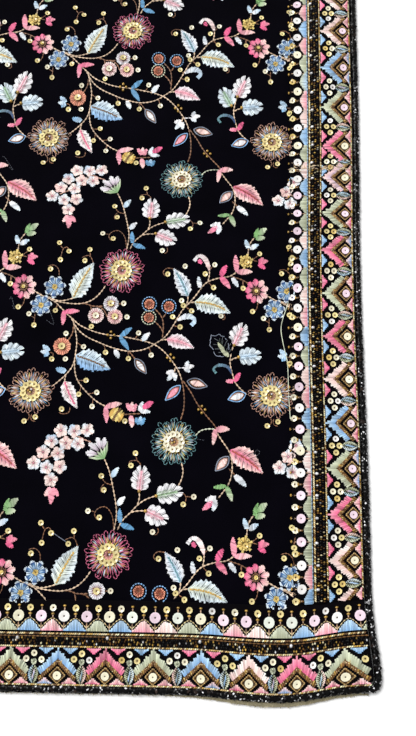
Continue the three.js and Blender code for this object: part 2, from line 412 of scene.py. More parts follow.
STAMPS: dict[Shape, Stamp] = {
    Shape.WEDGE: wedge_stamp(),
    Shape.STRIP: strip_stamp(),
    Shape.SPINDLE: spindle_stamp(),
    Shape.TWIST: spindle_stamp(),
    Shape.STUD: stud_stamp(),
    Shape.SPANGLE: ring_stamp(8, [(1.0, 0.5, 0.0), (0.36, 0.1, 0.35), (0.2, 0.0, 1.0)]),
    Shape.DISC: ring_stamp(12, [(1.0, 0.1, 0.05), (0.2, 0.14, 0.1), (0.13, 0.0, 1.0)]),
    Shape.BEAD: bead_stamp(),
}




def unit(v: Array) -> Array:
    """The same rows, each one unit long."""
    return v / np.maximum(np.linalg.norm(v, axis=-1, keepdims=True), 1e-9)


def heading(angle: float | Array) -> Array:
    """The way a turn from +X points, a row for each of several turns."""
    return np.stack([np.cos(angle), np.sin(angle)], axis=-1)


def left_of(v: Array) -> Array:
    """The same rows, each turned a quarter to the left."""
    return np.stack([-v[..., 1], v[..., 0]], axis=-1)


def round_steps(count: int) -> Array:
    """Equal turns all the way round."""
    return np.arange(count) * 2 * np.pi / count


@dataclass
class Work:
    """Needlework in hand: for each shape, rows of origin, along, across, up and two colours."""

    rows: dict[Shape, list[Array]] = field(default_factory=lambda: {shape: [] for shape in Shape})

    def add(self, shape: Shape, origin: Array, along: Array, across: Array, up: Array,
            first: Array, last: Array) -> None:
        """Adds copies of one shape.

        Args:
            shape: The shape.
            origin: Rows of x, y, z.
            along: The shape's own x axis, with its length.
            across: Its y axis.
            up: Its z axis.
            first: Colour where the tone is 0.
            last: Colour where the tone is 1.
        """
        parts = [np.broadcast_to(part, (len(origin), 3)) for part in (origin, along, across, up, first, last)]
        self.rows[shape].append(np.concatenate(parts, axis=1))

    def merged(self, shape: Shape) -> Array:
        """All rows of one shape."""
        return np.concatenate(self.rows[shape]) if self.rows[shape] else np.zeros((0, 18))

    def changed(self, change: Callable[[Array], Array]) -> "Work":
        """A new piece of work whose rows have been through a function."""
        out = Work()
        for shape in Shape:
            if self.rows[shape]:
                out.rows[shape] = [change(self.merged(shape))]
        return out

    def placed(self, turn: float, dx: float, dy: float) -> "Work":
        """The work turned about the origin and then moved.

        Args:
            turn: Degrees, anticlockwise seen from above.
            dx: How far it moves along x.
            dy: How far it moves along y.

        Returns:
            The moved work.
        """
        c, s = math.cos(math.radians(turn)), math.sin(math.radians(turn))

        def move(rows: Array) -> Array:
            """Turns the four vectors of each row and moves its origin."""
            rows = rows.copy()
            for k in (0, 3, 6, 9):
                x, y = rows[:, k].copy(), rows[:, k + 1].copy()
                rows[:, k] = c * x - s * y
                rows[:, k + 1] = s * x + c * y
            rows[:, 0] += dx
            rows[:, 1] += dy
            return rows

        return self.changed(move)

    def repeated(self, steps: Array) -> "Work":
        """The work once for each row of steps (dx, dy)."""

        def tile(rows: Array) -> Array:
            """Copies the rows and moves each copy."""
            many = np.tile(rows, (len(steps), 1))
            many[:, :2] += np.repeat(steps, len(rows), axis=0)
            return many

        return self.changed(tile)

    def kept(self, inside: Callable[[Array, Array], Array]) -> "Work":
        """The part of the work whose middles pass a test on x and y."""

        def cut(rows: Array) -> Array:
            """Drops the rows outside."""
            return rows[inside(rows[:, 0] + rows[:, 3] / 2, rows[:, 1] + rows[:, 4] / 2)]

        return self.changed(cut)

    def only(self, *shapes: Shape) -> "Work":
        """The part of the work made of these shapes."""
        out = Work()
        for shape in shapes:
            out.rows[shape] = self.rows[shape]
        return out

    def joined(self, *others: "Work") -> "Work":
        """This work and others together."""
        out = Work()
        for work in (self, *others):
            for shape in Shape:
                out.rows[shape] += work.rows[shape]
        return out

    def mesh(self, name: str, material: bpy.types.Material, sewn: bool = True, uneven: float = 0.2,
             core: Solid | None = None) -> bpy.types.Object:
        """Makes the joined mesh, with its colours in an attribute.

        Args:
            name: The piece's name.
            material: Its finish.
            sewn: Heights count from the cloth's face.
            uneven: How much lightness varies from one copy to the next.
            core: A plain shape that belongs to the same piece.

        Returns:
            The new object.
        """
        rng = np.random.default_rng(SEED)
        points, faces, dyes, count = [], [], [], 0
        for shape in Shape:
            rows = self.merged(shape)
            if not len(rows):
                continue
            stamp = STAMPS[shape]
            origin, along, across, up, first, last = (rows[:, None, k:k + 3] for k in range(0, 18, 3))
            x, y, z = (stamp.corners[None, :, k:k + 1] for k in range(3))
            at = origin + x * along + y * across + z * up
            tone = stamp.tone[None, :, None]
            lightness = 1 + uneven * rng.standard_normal((len(rows), 1, 1))
            colour = (first + (last - first) * tone) * np.clip(lightness, 0.6, 1.4)
            order = np.arange(len(rows))[:, None, None] * len(stamp.corners) + count
            points.append(at.reshape(-1, 3))
            dyes.append(colour.reshape(-1, 3))
            faces.append((stamp.triangles[None] + order).reshape(-1, 3))
            count += at.shape[0] * at.shape[1]
        if core:
            points.append(core.points)
            dyes.append(np.tile(core.dye, (len(core.points), 1)))
            faces.append(core.triangles + count)
        place = CLOTH.settle(np.concatenate(points), sewn)
        return mesh_object(name, place, np.concatenate(faces), material, np.concatenate(dyes))


def mesh_object(name: str, points: Array, triangles: Array, material: bpy.types.Material,
                dyes: Array | None = None) -> bpy.types.Object:
    """Makes an object at the origin from points in metres.

    Args:
        name: The piece's name.
        points: Rows of x, y, z.
        triangles: Rows of three point numbers.
        material: The finish.
        dyes: A linear colour for each point.

    Returns:
        The new object.
    """
    mesh = bpy.data.meshes.new(name)
    mesh.vertices.add(len(points))
    mesh.vertices.foreach_set("co", points.astype(np.float32).ravel())
    mesh.loops.add(3 * len(triangles))
    mesh.loops.foreach_set("vertex_index", triangles.astype(np.int32).ravel())
    mesh.polygons.add(len(triangles))
    mesh.polygons.foreach_set("loop_start", np.arange(0, 3 * len(triangles), 3, dtype=np.int32))
    mesh.update(calc_edges=True)
    if dyes is not None:
        colour = np.ones((len(points), 4), dtype=np.float32)
        colour[:, :3] = np.clip(dyes, 0, 1)
        mesh.color_attributes.new("dye", "FLOAT_COLOR", "POINT").data.foreach_set("color", colour.ravel())
    mesh.materials.append(material)
    piece = bpy.data.objects.new(name, mesh)
    bpy.context.scene.collection.objects.link(piece)
    return piece


def smooth_path(points: Sequence[Spot], step: float) -> Array:
    """A rounded path through points.

    Args:
        points: The points it passes.
        step: Roughly how far apart the returned points are.

    Returns:
        Rows of x, y, evenly spaced.
    """
    p = np.array(points, dtype=float)
    if len(p) > 2:
        padded = np.concatenate([[2 * p[0] - p[1]], p, [2 * p[-1] - p[-2]]])
        t = np.linspace(0, 1, 8, endpoint=False)[:, None]
        pieces = []
        for a, b, c, d in zip(padded, padded[1:], padded[2:], padded[3:]):
            square = (2 * a - 5 * b + 4 * c - d) * t ** 2
            cube = (3 * b - a - 3 * c + d) * t ** 3
            pieces.append((2 * b + (c - a) * t + square + cube) / 2)
        p = np.concatenate([*pieces, p[-1:]])
    walk = np.concatenate([[0], np.cumsum(np.linalg.norm(np.diff(p, axis=0), axis=1))])
    at = np.linspace(0, walk[-1], max(2, round(walk[-1] / step) + 1))
    return np.stack([np.interp(at, walk, p[:, 0]), np.interp(at, walk, p[:, 1])], axis=1)


@dataclass
class Needle:
    """Sews on flat cloth, in millimetres. Heights count from the cloth's face."""

    rng: np.random.Generator
    work: Work = field(default_factory=Work)

    def threads(self, shape: Shape, start: Array, end: Array, half: float | Array, first: Dye, last: Dye,
                rise: float = 0.35, base: float = 0.1) -> None:
        """Lays straight threads.

        Args:
            shape: Which thread.
            start: Rows of x, y where each starts.
            end: Where each ends.
            half: Half its width.
            first: Dye at the start.
            last: Dye at the end.
            rise: Height of its ridge.
            base: Height of its sides over the cloth.
        """
        start, end = np.atleast_2d(start).astype(float), np.atleast_2d(end).astype(float)
        along = end - start
        across = unit(left_of(along)) * np.reshape(half, (-1, 1))
        flat = np.zeros((len(start), 1))
        self.work.add(shape, np.hstack([start, flat + base]), np.hstack([along, flat]),
                      np.hstack([across, flat]), np.array([0, 0, rise]), first.linear(), last.linear())

    def stem(self, points: Sequence[Spot], dye: Dye, width: float = 0.78, step: float = 2.4) -> None:
        """A line of chain stitches along a rounded path."""
        path = smooth_path(points, step)
        lap = 0.14 * (path[1:] - path[:-1])
        self.threads(Shape.SPINDLE, path[:-1] - lap, path[1:] + lap, width / 2 * 1.25, dye, dye, 0.45, 0.05)

    def satin(self, left: Array, right: Array, pitch: float, first: Dye, last: Dye, rise: float = 0.4,
              base: float = 0.1) -> None:
        """Closely laid threads from one edge to another, a thread for each pair of rows."""
        self.threads(Shape.STRIP, left, right, pitch * 0.45, first, last, rise, base)

    def blade(self, points: Sequence[Spot], width: float, root: Dye, tip: Dye, pitch: float = 0.9,
              blunt: float = 0.0) -> None:
        """A small leaf of slanting threads, on a straight or curved middle line.

        Args:
            points: The middle line from root to tip.
            width: Its greatest width.
            root: Dye at the root.
            tip: Dye at the tip.
            pitch: From thread to thread.
            blunt: Share of the width that is left at the tip.
        """
        path = smooth_path(points, pitch)
        t = np.linspace(0, 1, len(path))
        ahead = unit(np.gradient(path, axis=0))
        normal = left_of(ahead)
        half = width / 2 * np.maximum(np.sin(np.pi * t ** 0.78) ** 0.8, blunt * t)
        half = half * (1 + 0.08 * self.rng.standard_normal(len(t)))
        slant = ahead * (0.22 * width * np.sin(np.pi * t))[:, None]
        left, right = path - normal * half[:, None] - slant, path + normal * half[:, None] + slant
        shares = t[:, None] * (tip.linear() - root.linear()) + root.linear()
        along = right - left
        across = unit(left_of(along)) * pitch * 0.54
        flat = np.zeros((len(path), 1))
        long = np.linalg.norm(along, axis=1) > 0.3
        self.work.add(Shape.STRIP, np.hstack([left, flat + 0.12])[long], np.hstack([along, flat])[long],
                      np.hstack([across, flat])[long], np.array([0, 0, 0.6]), shares[long], shares[long])

    def leaf(self, base: Spot, tip: Spot, width: float, edge: Dye, inner: Dye, vein: Dye | None,
             bend: float = 0.0, other: Dye | None = None, pitch: float = 0.92) -> None:
        """A large leaf: slanting threads from a middle vein out to a toothed edge.

        Args:
            base: Where it joins its stem.
            tip: Its point.
            width: Its greatest width.
            edge: Dye at the edge.
            inner: Dye by the vein.
            vein: Dye of the vein, or none.
            bend: How far the middle bows to the left of the way from base to tip.
            other: Edge dye of the right half, if it differs.
            pitch: From thread to thread.
        """
        root, point = np.array(base, dtype=float), np.array(tip, dtype=float)
        axis = point - root
        length = float(np.linalg.norm(axis))
        normal = left_of(axis) / length

        def middle(t: Array) -> Array:
            """Points on the vein."""
            return root + t[:, None] * axis + (bend * np.sin(np.pi * t))[:, None] * normal

        count = int(length / pitch)
        t = (np.arange(count) + 0.5) / count
        ahead = np.minimum(1, t + 0.14 * (1 - 0.5 * t))
        half = width / 2 * np.sin(np.pi * ahead ** 0.76)
        teeth = 1 + 0.09 * np.cos(2 * np.pi * np.arange(count) / 3) + 0.04 * self.rng.standard_normal(count)
        for side, dye in ((1, edge), (-1, other or edge)):
            foot = middle(0.97 * t)
            rim = middle(ahead) + (side * half * teeth)[:, None] * normal
            self.threads(Shape.WEDGE, rim, foot, pitch * 0.66, dye, inner, 0.34, 0.1)
            self.threads(Shape.WEDGE, foot, foot + 0.78 * (rim - foot), pitch * 0.6, inner, dye, 0.4, 0.16)
        if vein:
            line = middle(np.linspace(0.04, 0.84, max(4, int(length * 0.62))))
            slant = 0.5 * normal * np.where(np.arange(len(line) - 1) % 2, 1, -1)[:, None]
            self.threads(Shape.SPINDLE, line[:-1] - slant, line[1:] + slant, 0.7, vein, vein, 0.5, 0.45)

    def petal(self, root: Array, tip: Array, width: float, inner: Dye, outer: Dye, strands: int = 4,
              rise: float = 0.4, close: float = 0.56) -> None:
        """A rounded petal: threads that fan out from its root to its rim, close being their overlap."""
        axis = tip - root
        normal = unit(left_of(axis))
        s = np.linspace(-1, 1, strands)[:, None]
        reach = 1 - 0.32 * s ** 2 + 0.02 * self.rng.standard_normal((strands, 1))
        rim = root + axis * reach + normal * (0.36 * width * s)
        foot = root + axis * 0.04 + normal * (0.07 * width * s)
        self.threads(Shape.WEDGE, rim, foot, width / strands * close, outer, inner, rise, 0.1)

    def lobed_leaf(self, base: Spot, tip: Spot, width: float, edge: Dye, inner: Dye) -> None:
        """A leaf cut into rounded lobes, with a gold bead where it joins its stem.

        Args:
            base: Where it joins its stem.
            tip: The end of its last lobe.
            width: Its width over the side lobes.
            edge: Dye of the lobes.
            inner: Dye of its middle.
        """
        root, point = np.array(base, dtype=float), np.array(tip, dtype=float)
        axis = point - root
        normal = unit(left_of(axis))
        count = 21
        t = (np.arange(count) + 0.5) / count
        lobes = 0.64 + 0.36 * np.abs(np.sin(np.pi * (3.6 * t + 0.15))) ** 0.7
        half = width / 2 * np.sin(np.pi * (0.2 + 0.78 * t)) ** 0.65 * lobes
        for side in (-1, 1):
            foot = root + (0.74 * t)[:, None] * axis
            rim = root + (0.1 + 0.92 * t)[:, None] * axis + (side * half)[:, None] * normal
            self.threads(Shape.WEDGE, rim, foot, 0.46, edge, edge, 0.35, 0.1)
            self.threads(Shape.WEDGE, foot, foot + 0.62 * (rim - foot), 0.36, inner, edge, 0.4, 0.16)
        vein = root + np.linspace(0, 0.6, 8)[:, None] * axis
        for side in (-1, 1):
            ends = vein + 0.16 * axis + side * 1.3 * normal
            self.threads(Shape.SPINDLE, vein, ends, 0.42, inner, edge, 0.4, 0.5)
        self.beads([base], 1.15, Dye.GOLD)

    def rosette(self, centre: Spot, inner_radius: float, radius: float, count: int, inner: Dye, outer: Dye,
                frill: float = 0.08) -> None:
        """A ring of threads laid outwards from a middle."""
        way = heading(round_steps(count))
        far = radius * (1 + frill * np.where(np.arange(count) % 2, 1, -1))[:, None]
        half = np.pi * radius / count * 0.86
        self.threads(Shape.WEDGE, centre + way * far, centre + way * inner_radius * 0.4, half, outer, inner,
                     0.5, 0.1)

    def spangles(self, centres: Sequence[Spot], radius: float, face: Dye, shape: Shape = Shape.SPANGLE,
                 base: float = 0.55) -> None:
        """Sequins, each tipped a little its own way."""
        at = np.atleast_2d(np.array(centres, dtype=float))
        n = len(at)
        tip = self.rng.uniform(-0.13, 0.13, (n, 2)) * radius
        flat = np.zeros(n)
        turn = self.rng.uniform(0, 2 * np.pi, n)
        c, s = radius * np.cos(turn), radius * np.sin(turn)
        along = np.stack([c, s, c * tip[:, 0] / radius + s * tip[:, 1] / radius], axis=1)
        across = np.stack([-s, c, -s * tip[:, 0] / radius + c * tip[:, 1] / radius], axis=1)
        self.work.add(shape, np.column_stack([at, flat + base]), along, across,
                      np.array([0, 0, 0.45 * radius]), face.linear(), Dye.HOLE.linear())

    def beads(self, centres: Sequence[Spot], radius: float, dye: Dye, long: float = 1.0,
              turn: float = 0.0) -> None:
        """Round or long beads, each darker on its underside: a painted shade.

        Args:
            centres: Where they are sewn.
            radius: Their radius.
            dye: Their colour.
            long: Length over thickness.
            turn: Direction of a long bead, in degrees.
        """
        at = np.atleast_2d(np.array(centres, dtype=float))
        c, s = math.cos(math.radians(turn)), math.sin(math.radians(turn))
        origin = np.column_stack([at, np.full(len(at), radius * 0.8)])
        # The second colour, the dye at six tenths, darkens the underside of each bead: a painted shade.
        self.work.add(Shape.BEAD, origin, np.array([c, s, 0]) * radius * long, np.array([-s, c, 0]) * radius,
                      np.array([0, 0, radius * 0.9]), dye.linear(), dye.linear() * 0.6)

    def twisted_cord(self, start: Spot, end: Spot, width: float, dyes: Sequence[Dye],
                     pitch: float = 1.2, lean: float = 0.62) -> None:
        """A couched cord: slanting strands one after another along a straight line."""
        a, b = np.array(start, dtype=float), np.array(end, dtype=float)
        length = float(np.linalg.norm(b - a))
        ahead = (b - a) / length
        count = int(length / pitch)
        at = a + ahead * ((np.arange(count) + 0.5) * length / count)[:, None]
        half = (ahead * math.cos(lean) + left_of(ahead) * math.sin(lean)) * width * 0.62
        shades = self.rng.integers(0, len(dyes), count)
        for number, dye in enumerate(dyes):
            mine = at[shades == number]
            self.threads(Shape.TWIST, mine - half, mine + half, pitch * 0.4, dye, dye, width * 0.55, 0.1)


@dataclass(frozen=True)
class Bloom:
    """A large loop-petalled flower: place and the dyes of its loops, its second row and its heart."""

    x: float
    y: float
    rim: Dye
    loop: Dye
    inner: Dye
    heart: Dye
    spangle: Dye


@dataclass(frozen=True)
class Sprout:
    """Anything that grows from a base to a tip, and its width."""

    x: float
    y: float
    tip_x: float
    tip_y: float
    width: float

    @property
    def base(self) -> Spot:
        """Where it joins its stem."""
        return self.x, self.y

    @property
    def end(self) -> Spot:
        """Its tip."""
        return self.tip_x, self.tip_y


@dataclass(frozen=True)
class Blade(Sprout):
    """A small leaf or bud petal, with the dyes of its root and its tip."""

    root: Dye
    tip: Dye


@dataclass(frozen=True)
class VeinedLeaf(Sprout):
    """A large toothed leaf: the bend of its middle and its dyes."""

    bend: float
    edge: Dye
    inner: Dye
    vein: Dye | None
    other: Dye | None = None


@dataclass(frozen=True)
class LobedLeaf(Sprout):
    """A lobed leaf and its dyes."""

    edge: Dye
    inner: Dye


@dataclass(frozen=True)
class EyeLeaf(Sprout):
    """An outlined leaf, with the dyes of the outline, the filling and the inner line."""

    outline: Dye
    fill: Dye
    root: Dye


@dataclass(frozen=True)
class RingFlower:
    """A small round flower: place, radius, dyes and its heart."""

    x: float
    y: float
    radius: float
    outer: Dye
    inner: Dye
    heart: Dye


def chart(kind: Callable[..., Motif], text: str) -> tuple[Motif, ...]:
    """Reads a chart that has a row for each motif: numbers, names of dyes, and a dash for none.

    Args:
        kind: What the words of a row make, in their order.
        text: The rows.

    Returns:
        The motifs.
    """
    def value(word: str) -> float | Dye | None:
        """A dye, none or a number."""
        if word in Dye.__members__:
            return Dye[word]
        return None if word == "-" else float(word)

    return tuple(kind(*map(value, row.split())) for row in text.strip().splitlines())


def spots(text: str) -> tuple[Spot, ...]:
    """Reads places, two numbers for each."""
    numbers = [float(word) for word in text.split()]
    return tuple(zip(numbers[::2], numbers[1::2]))


def paths(text: str) -> tuple[tuple[Spot, ...], ...]:
    """Reads paths with a stroke between one and the next."""
    return tuple(spots(path) for path in text.split("/"))


def dyed_paths(text: str) -> tuple[tuple[Dye, tuple[Spot, ...]], ...]:
    """Reads paths, each after the name of its dye."""
    return tuple((Dye[name], spots(path)) for name, path in re.findall(r"([A-Z_]+)([^A-Z_]+)", text))


# One repeat of the field's needlework, charted in millimetres from the shawl's front right corner: x runs
# inwards, so it is below 0, and y runs from the front hem to the back.
BLOOMS = chart(Bloom, """
    -152.5 74.8 RASPBERRY GOLD SKY ROSE SPANGLE_GOLD
    -116.4 140.8 TEAL YELLOW ICE TAN SPANGLE_CREAM
    -204.3 169.8 TAN AZURE ICE TAN SPANGLE_GOLD
""")
BLUE_FLOWERS: tuple[Spot, ...] = ((-194.0, 64.2), (-201.8, 52.8))
HALF_FLOWER: Spot = (-213.5, 64.0)
BLOSSOMS = spots("""
    -184.5 146.3 -176.4 146.2 -168.7 146.9 -189.8 140.0 -181.2 138.8 -173.8 138.6 -194.4 133.3 -185.5 132.5
    -199.6 126.7 -191.9 124.2 -183.9 124.8 -188.7 116.9
""")
RING_FLOWERS = chart(RingFlower, """
    -158.2 54.6 4.7 WHITE MAUVE SPANGLE_GOLD
    -167.2 218.2 4.9 PEARL ROSE SPANGLE_CREAM
    -155.4 217.8 4.7 BLUSH ROSE SPANGLE_GOLD
    -187.1 198.2 5.3 PEACH ORANGE SPANGLE_GOLD
""")
BERRIES: tuple[tuple[float, float, Dye], ...] = (
    (-134.2, 54.8, Dye.BLUE), (-121.9, 53.6, Dye.BLUE), (-134.2, 217.6, Dye.WILLOW),
)
FAN_PETALS = (
    (-161.4, 132.6, -169.0, 133.2, 5.2), (-160.8, 134.2, -167.4, 139.2, 4.6),
    (-159.9, 135.2, -162.6, 142.6, 4.8), (-158.8, 135.4, -158.0, 142.6, 4.2),
)
CALYX = spots("-157.4 130.0 -167.0 130.3 -164.4 132.2 -162.4 134.4 -160.3 136.4 -157.9 137.4 -156.0 140.6")
VEINED_LEAVES = chart(VeinedLeaf, """
    -182.2 57.4 -170.4 79.4 11.8 0.6 ICE WILLOW GOLD
    -106.0 56.6 -83.2 50.2 11.4 1.9 ICE WILLOW GOLD
    -110.2 60.0 -119.7 76.8 8.8 -0.7 WHITE SKY TEAL
    -122.8 204.0 -105.7 198.7 8.6 1.1 WHITE ROSE -
    -178.4 192.6 -156.8 184.3 12.4 0.6 ICE SKY BRONZE BLUE
    -184.3 176.6 -175.6 159.9 8.2 -0.6 WHITE BLUSH HOT_PINK
    -82.5 136.6 -63.0 123.2 12.0 1.2 BLUSH HOT_PINK RED_BROWN
""")
LOBED_LEAVES = chart(LobedLeaf, """
    -125.9 108.8 -110.3 112.2 12.2 WHITE GREEN
    -131.9 100.0 -118.7 94.4 12.0 WHITE ROSE
    -136.0 111.4 -134.8 126.4 11.8 WHITE ROSE
    -80.6 200.9 -74.3 215.0 12.2 WHITE ROSE
    -77.8 193.5 -63.6 195.3 11.4 ICE SKY
    -84.6 194.8 -91.4 206.8 11.6 ICE GREEN
""")
EYE_LEAVES = chart(EyeLeaf, """
    -141.8 191.3 -134.5 182.0 5.2 SLATE WHITE BROWN
    -109.4 178.0 -96.9 174.9 6.2 SLATE BLUSH BROWN
    -113.4 175.2 -122.3 165.8 5.4 BLUE ROSE RED_BROWN
    -83.3 132.7 -91.2 124.0 6.0 SLATE BLUSH TAN
    -73.2 170.8 -84.2 167.0 6.4 BLUE WHITE TAN
""")
BLADES = chart(Blade, """
    -153.2 119.1 -148.5 125.2 3.2 SKY ICE
    -148.9 103.0 -144.0 108.2 3.2 ICE WHITE
    -146.6 92.6 -147.0 101.6 2.9 AZURE AZURE
    -146.4 92.4 -137.9 89.2 3.2 AZURE AZURE
    -187.2 220.3 -177.2 220.9 3.2 HOT_PINK ROSE
    -187.0 221.4 -187.6 211.3 3.2 HOT_PINK ROSE
    -151.8 205.0 -144.2 211.0 3.1 AZURE AZURE
    -151.8 205.4 -145.7 196.4 3.2 AZURE AZURE
    -138.3 202.7 -132.9 208.0 3.3 ICE WHITE
    -154.3 197.1 -151.8 191.0 3.0 WHITE ICE
    -183.6 182.0 -190.0 184.6 3.8 SKY AZURE
    -102.8 65.0 -103.8 72.3 3.1 WHITE ICE
    -82.4 72.0 -78.3 66.0 3.0 WHITE ICE
    -90.2 72.4 -85.6 79.6 3.6 HOT_PINK HOT_PINK
    -89.8 72.5 -83.4 65.0 3.6 HOT_PINK ROSE
    -79.5 75.0 -80.3 86.4 3.6 ROSE ROSE
    -79.6 75.4 -69.0 75.6 3.4 ROSE BLUSH
    -72.2 90.6 -74.0 97.2 3.1 ICE SKY
    -71.4 90.6 -65.2 93.8 3.0 WHITE SKY
    -68.2 98.2 -65.6 106.2 2.6 GREEN GREEN
    -66.2 101.0 -60.2 105.8 3.8 GREEN WILLOW
    -67.6 98.3 -61.2 98.4 3.8 GREEN WILLOW
    -65.8 81.5 -59.0 82.6 3.2 HOT_PINK ROSE
    -65.4 80.8 -61.1 77.4 2.9 HOT_PINK HOT_PINK
    -65.5 81.9 -61.8 84.6 2.6 HOT_PINK ROSE
    -91.6 149.0 -82.7 148.9 3.6 ROSE BLUSH
    -91.4 149.2 -93.0 139.2 3.2 ROSE BLUSH
    -84.4 115.2 -92.5 114.4 2.9 GREEN GREEN
    -84.4 115.4 -81.0 106.3 3.2 GREEN WILLOW
    -79.8 122.1 -72.6 114.9 3.8 WHITE ICE
    -90.2 108.4 -97.3 106.8 3.6 WHITE WHITE
    -90.6 107.8 -92.5 100.4 3.6 WHITE ICE
    -92.2 106.2 -98.8 101.0 3.2 HOT_PINK ROSE
    -158.6 161.3 -148.3 163.4 3.4 ROSE BLUSH
    -158.2 161.8 -157.3 151.0 3.2 ROSE ROSE
    -138.0 158.6 -135.7 165.0 2.9 WHITE ICE
    -136.2 160.8 -129.3 164.8 3.6 HOT_PINK HOT_PINK
    -137.4 159.0 -130.8 158.4 2.8 WHITE ICE
    -142.4 158.6 -145.8 163.8 3.0 ROSE ROSE
    -142.4 158.6 -142.3 164.6 2.8 ROSE BLUSH
    -142.2 158.6 -139.3 163.4 2.8 ROSE ROSE
    -137.4 150.6 -139.8 155.2 2.9 AZURE AZURE
    -137.2 150.8 -136.6 156.0 2.6 AZURE SKY
    -137.2 150.6 -133.9 155.0 2.8 AZURE AZURE
    -194.6 194.8 -198.9 199.0 3.0 SKY SKY
    -195.0 194.4 -200.3 194.8 2.8 SKY ICE
    -194.6 194.2 -197.9 191.6 2.6 SKY AZURE
    -187.9 112.6 -192.0 107.4 3.2 ROSE BLUSH
    -187.5 112.6 -183.5 107.2 3.2 ROSE ROSE
    -187.7 111.6 -187.9 102.6 3.6 ROSE ROSE
    -111.0 186.4 -105.0 187.4 3.0 WHITE WHITE
    -111.0 186.4 -108.4 190.6 2.8 WHITE ICE
    -111.0 186.2 -107.8 183.2 2.8 WHITE ICE
    -117.4 183.4 -122.6 183.0 3.0 WHITE WHITE
    -117.4 183.4 -121.8 177.8 3.0 WHITE ICE
    -117.2 183.4 -116.8 177.6 3.0 WHITE ICE
    -80.5 178.0 -76.4 184.0 2.9 HOT_PINK HOT_PINK
    -80.6 178.2 -85.8 178.6 2.8 HOT_PINK ROSE
    -103.2 79.6 -102.9 83.3 2.6 HOT_PINK HOT_PINK
    -142.6 156.4 -141.9 148.6 3.2 ROSE BLUSH
""")
CURLS: tuple[tuple[tuple[Spot, ...], float, Dye, Dye], ...] = (
    (spots("-96.9 75.6 -98.4 80.4 -101.0 84.2 -104.2 85.0 -106.6 82.0"), 2.9, Dye.BLUSH, Dye.WHITE),
    (spots("-116.7 216.0 -111.6 218.7 -107.5 218.3 -105.6 215.8 -107.4 213.4"), 3.3, Dye.WHITE, Dye.SKY),
    (spots("-81.9 182.6 -83.8 186.5 -86.9 188.1 -90.8 188.0 -93.3 185.8 -91.9 183.5"), 1.8, Dye.DEEP_BLUE,
     Dye.TEAL),
)
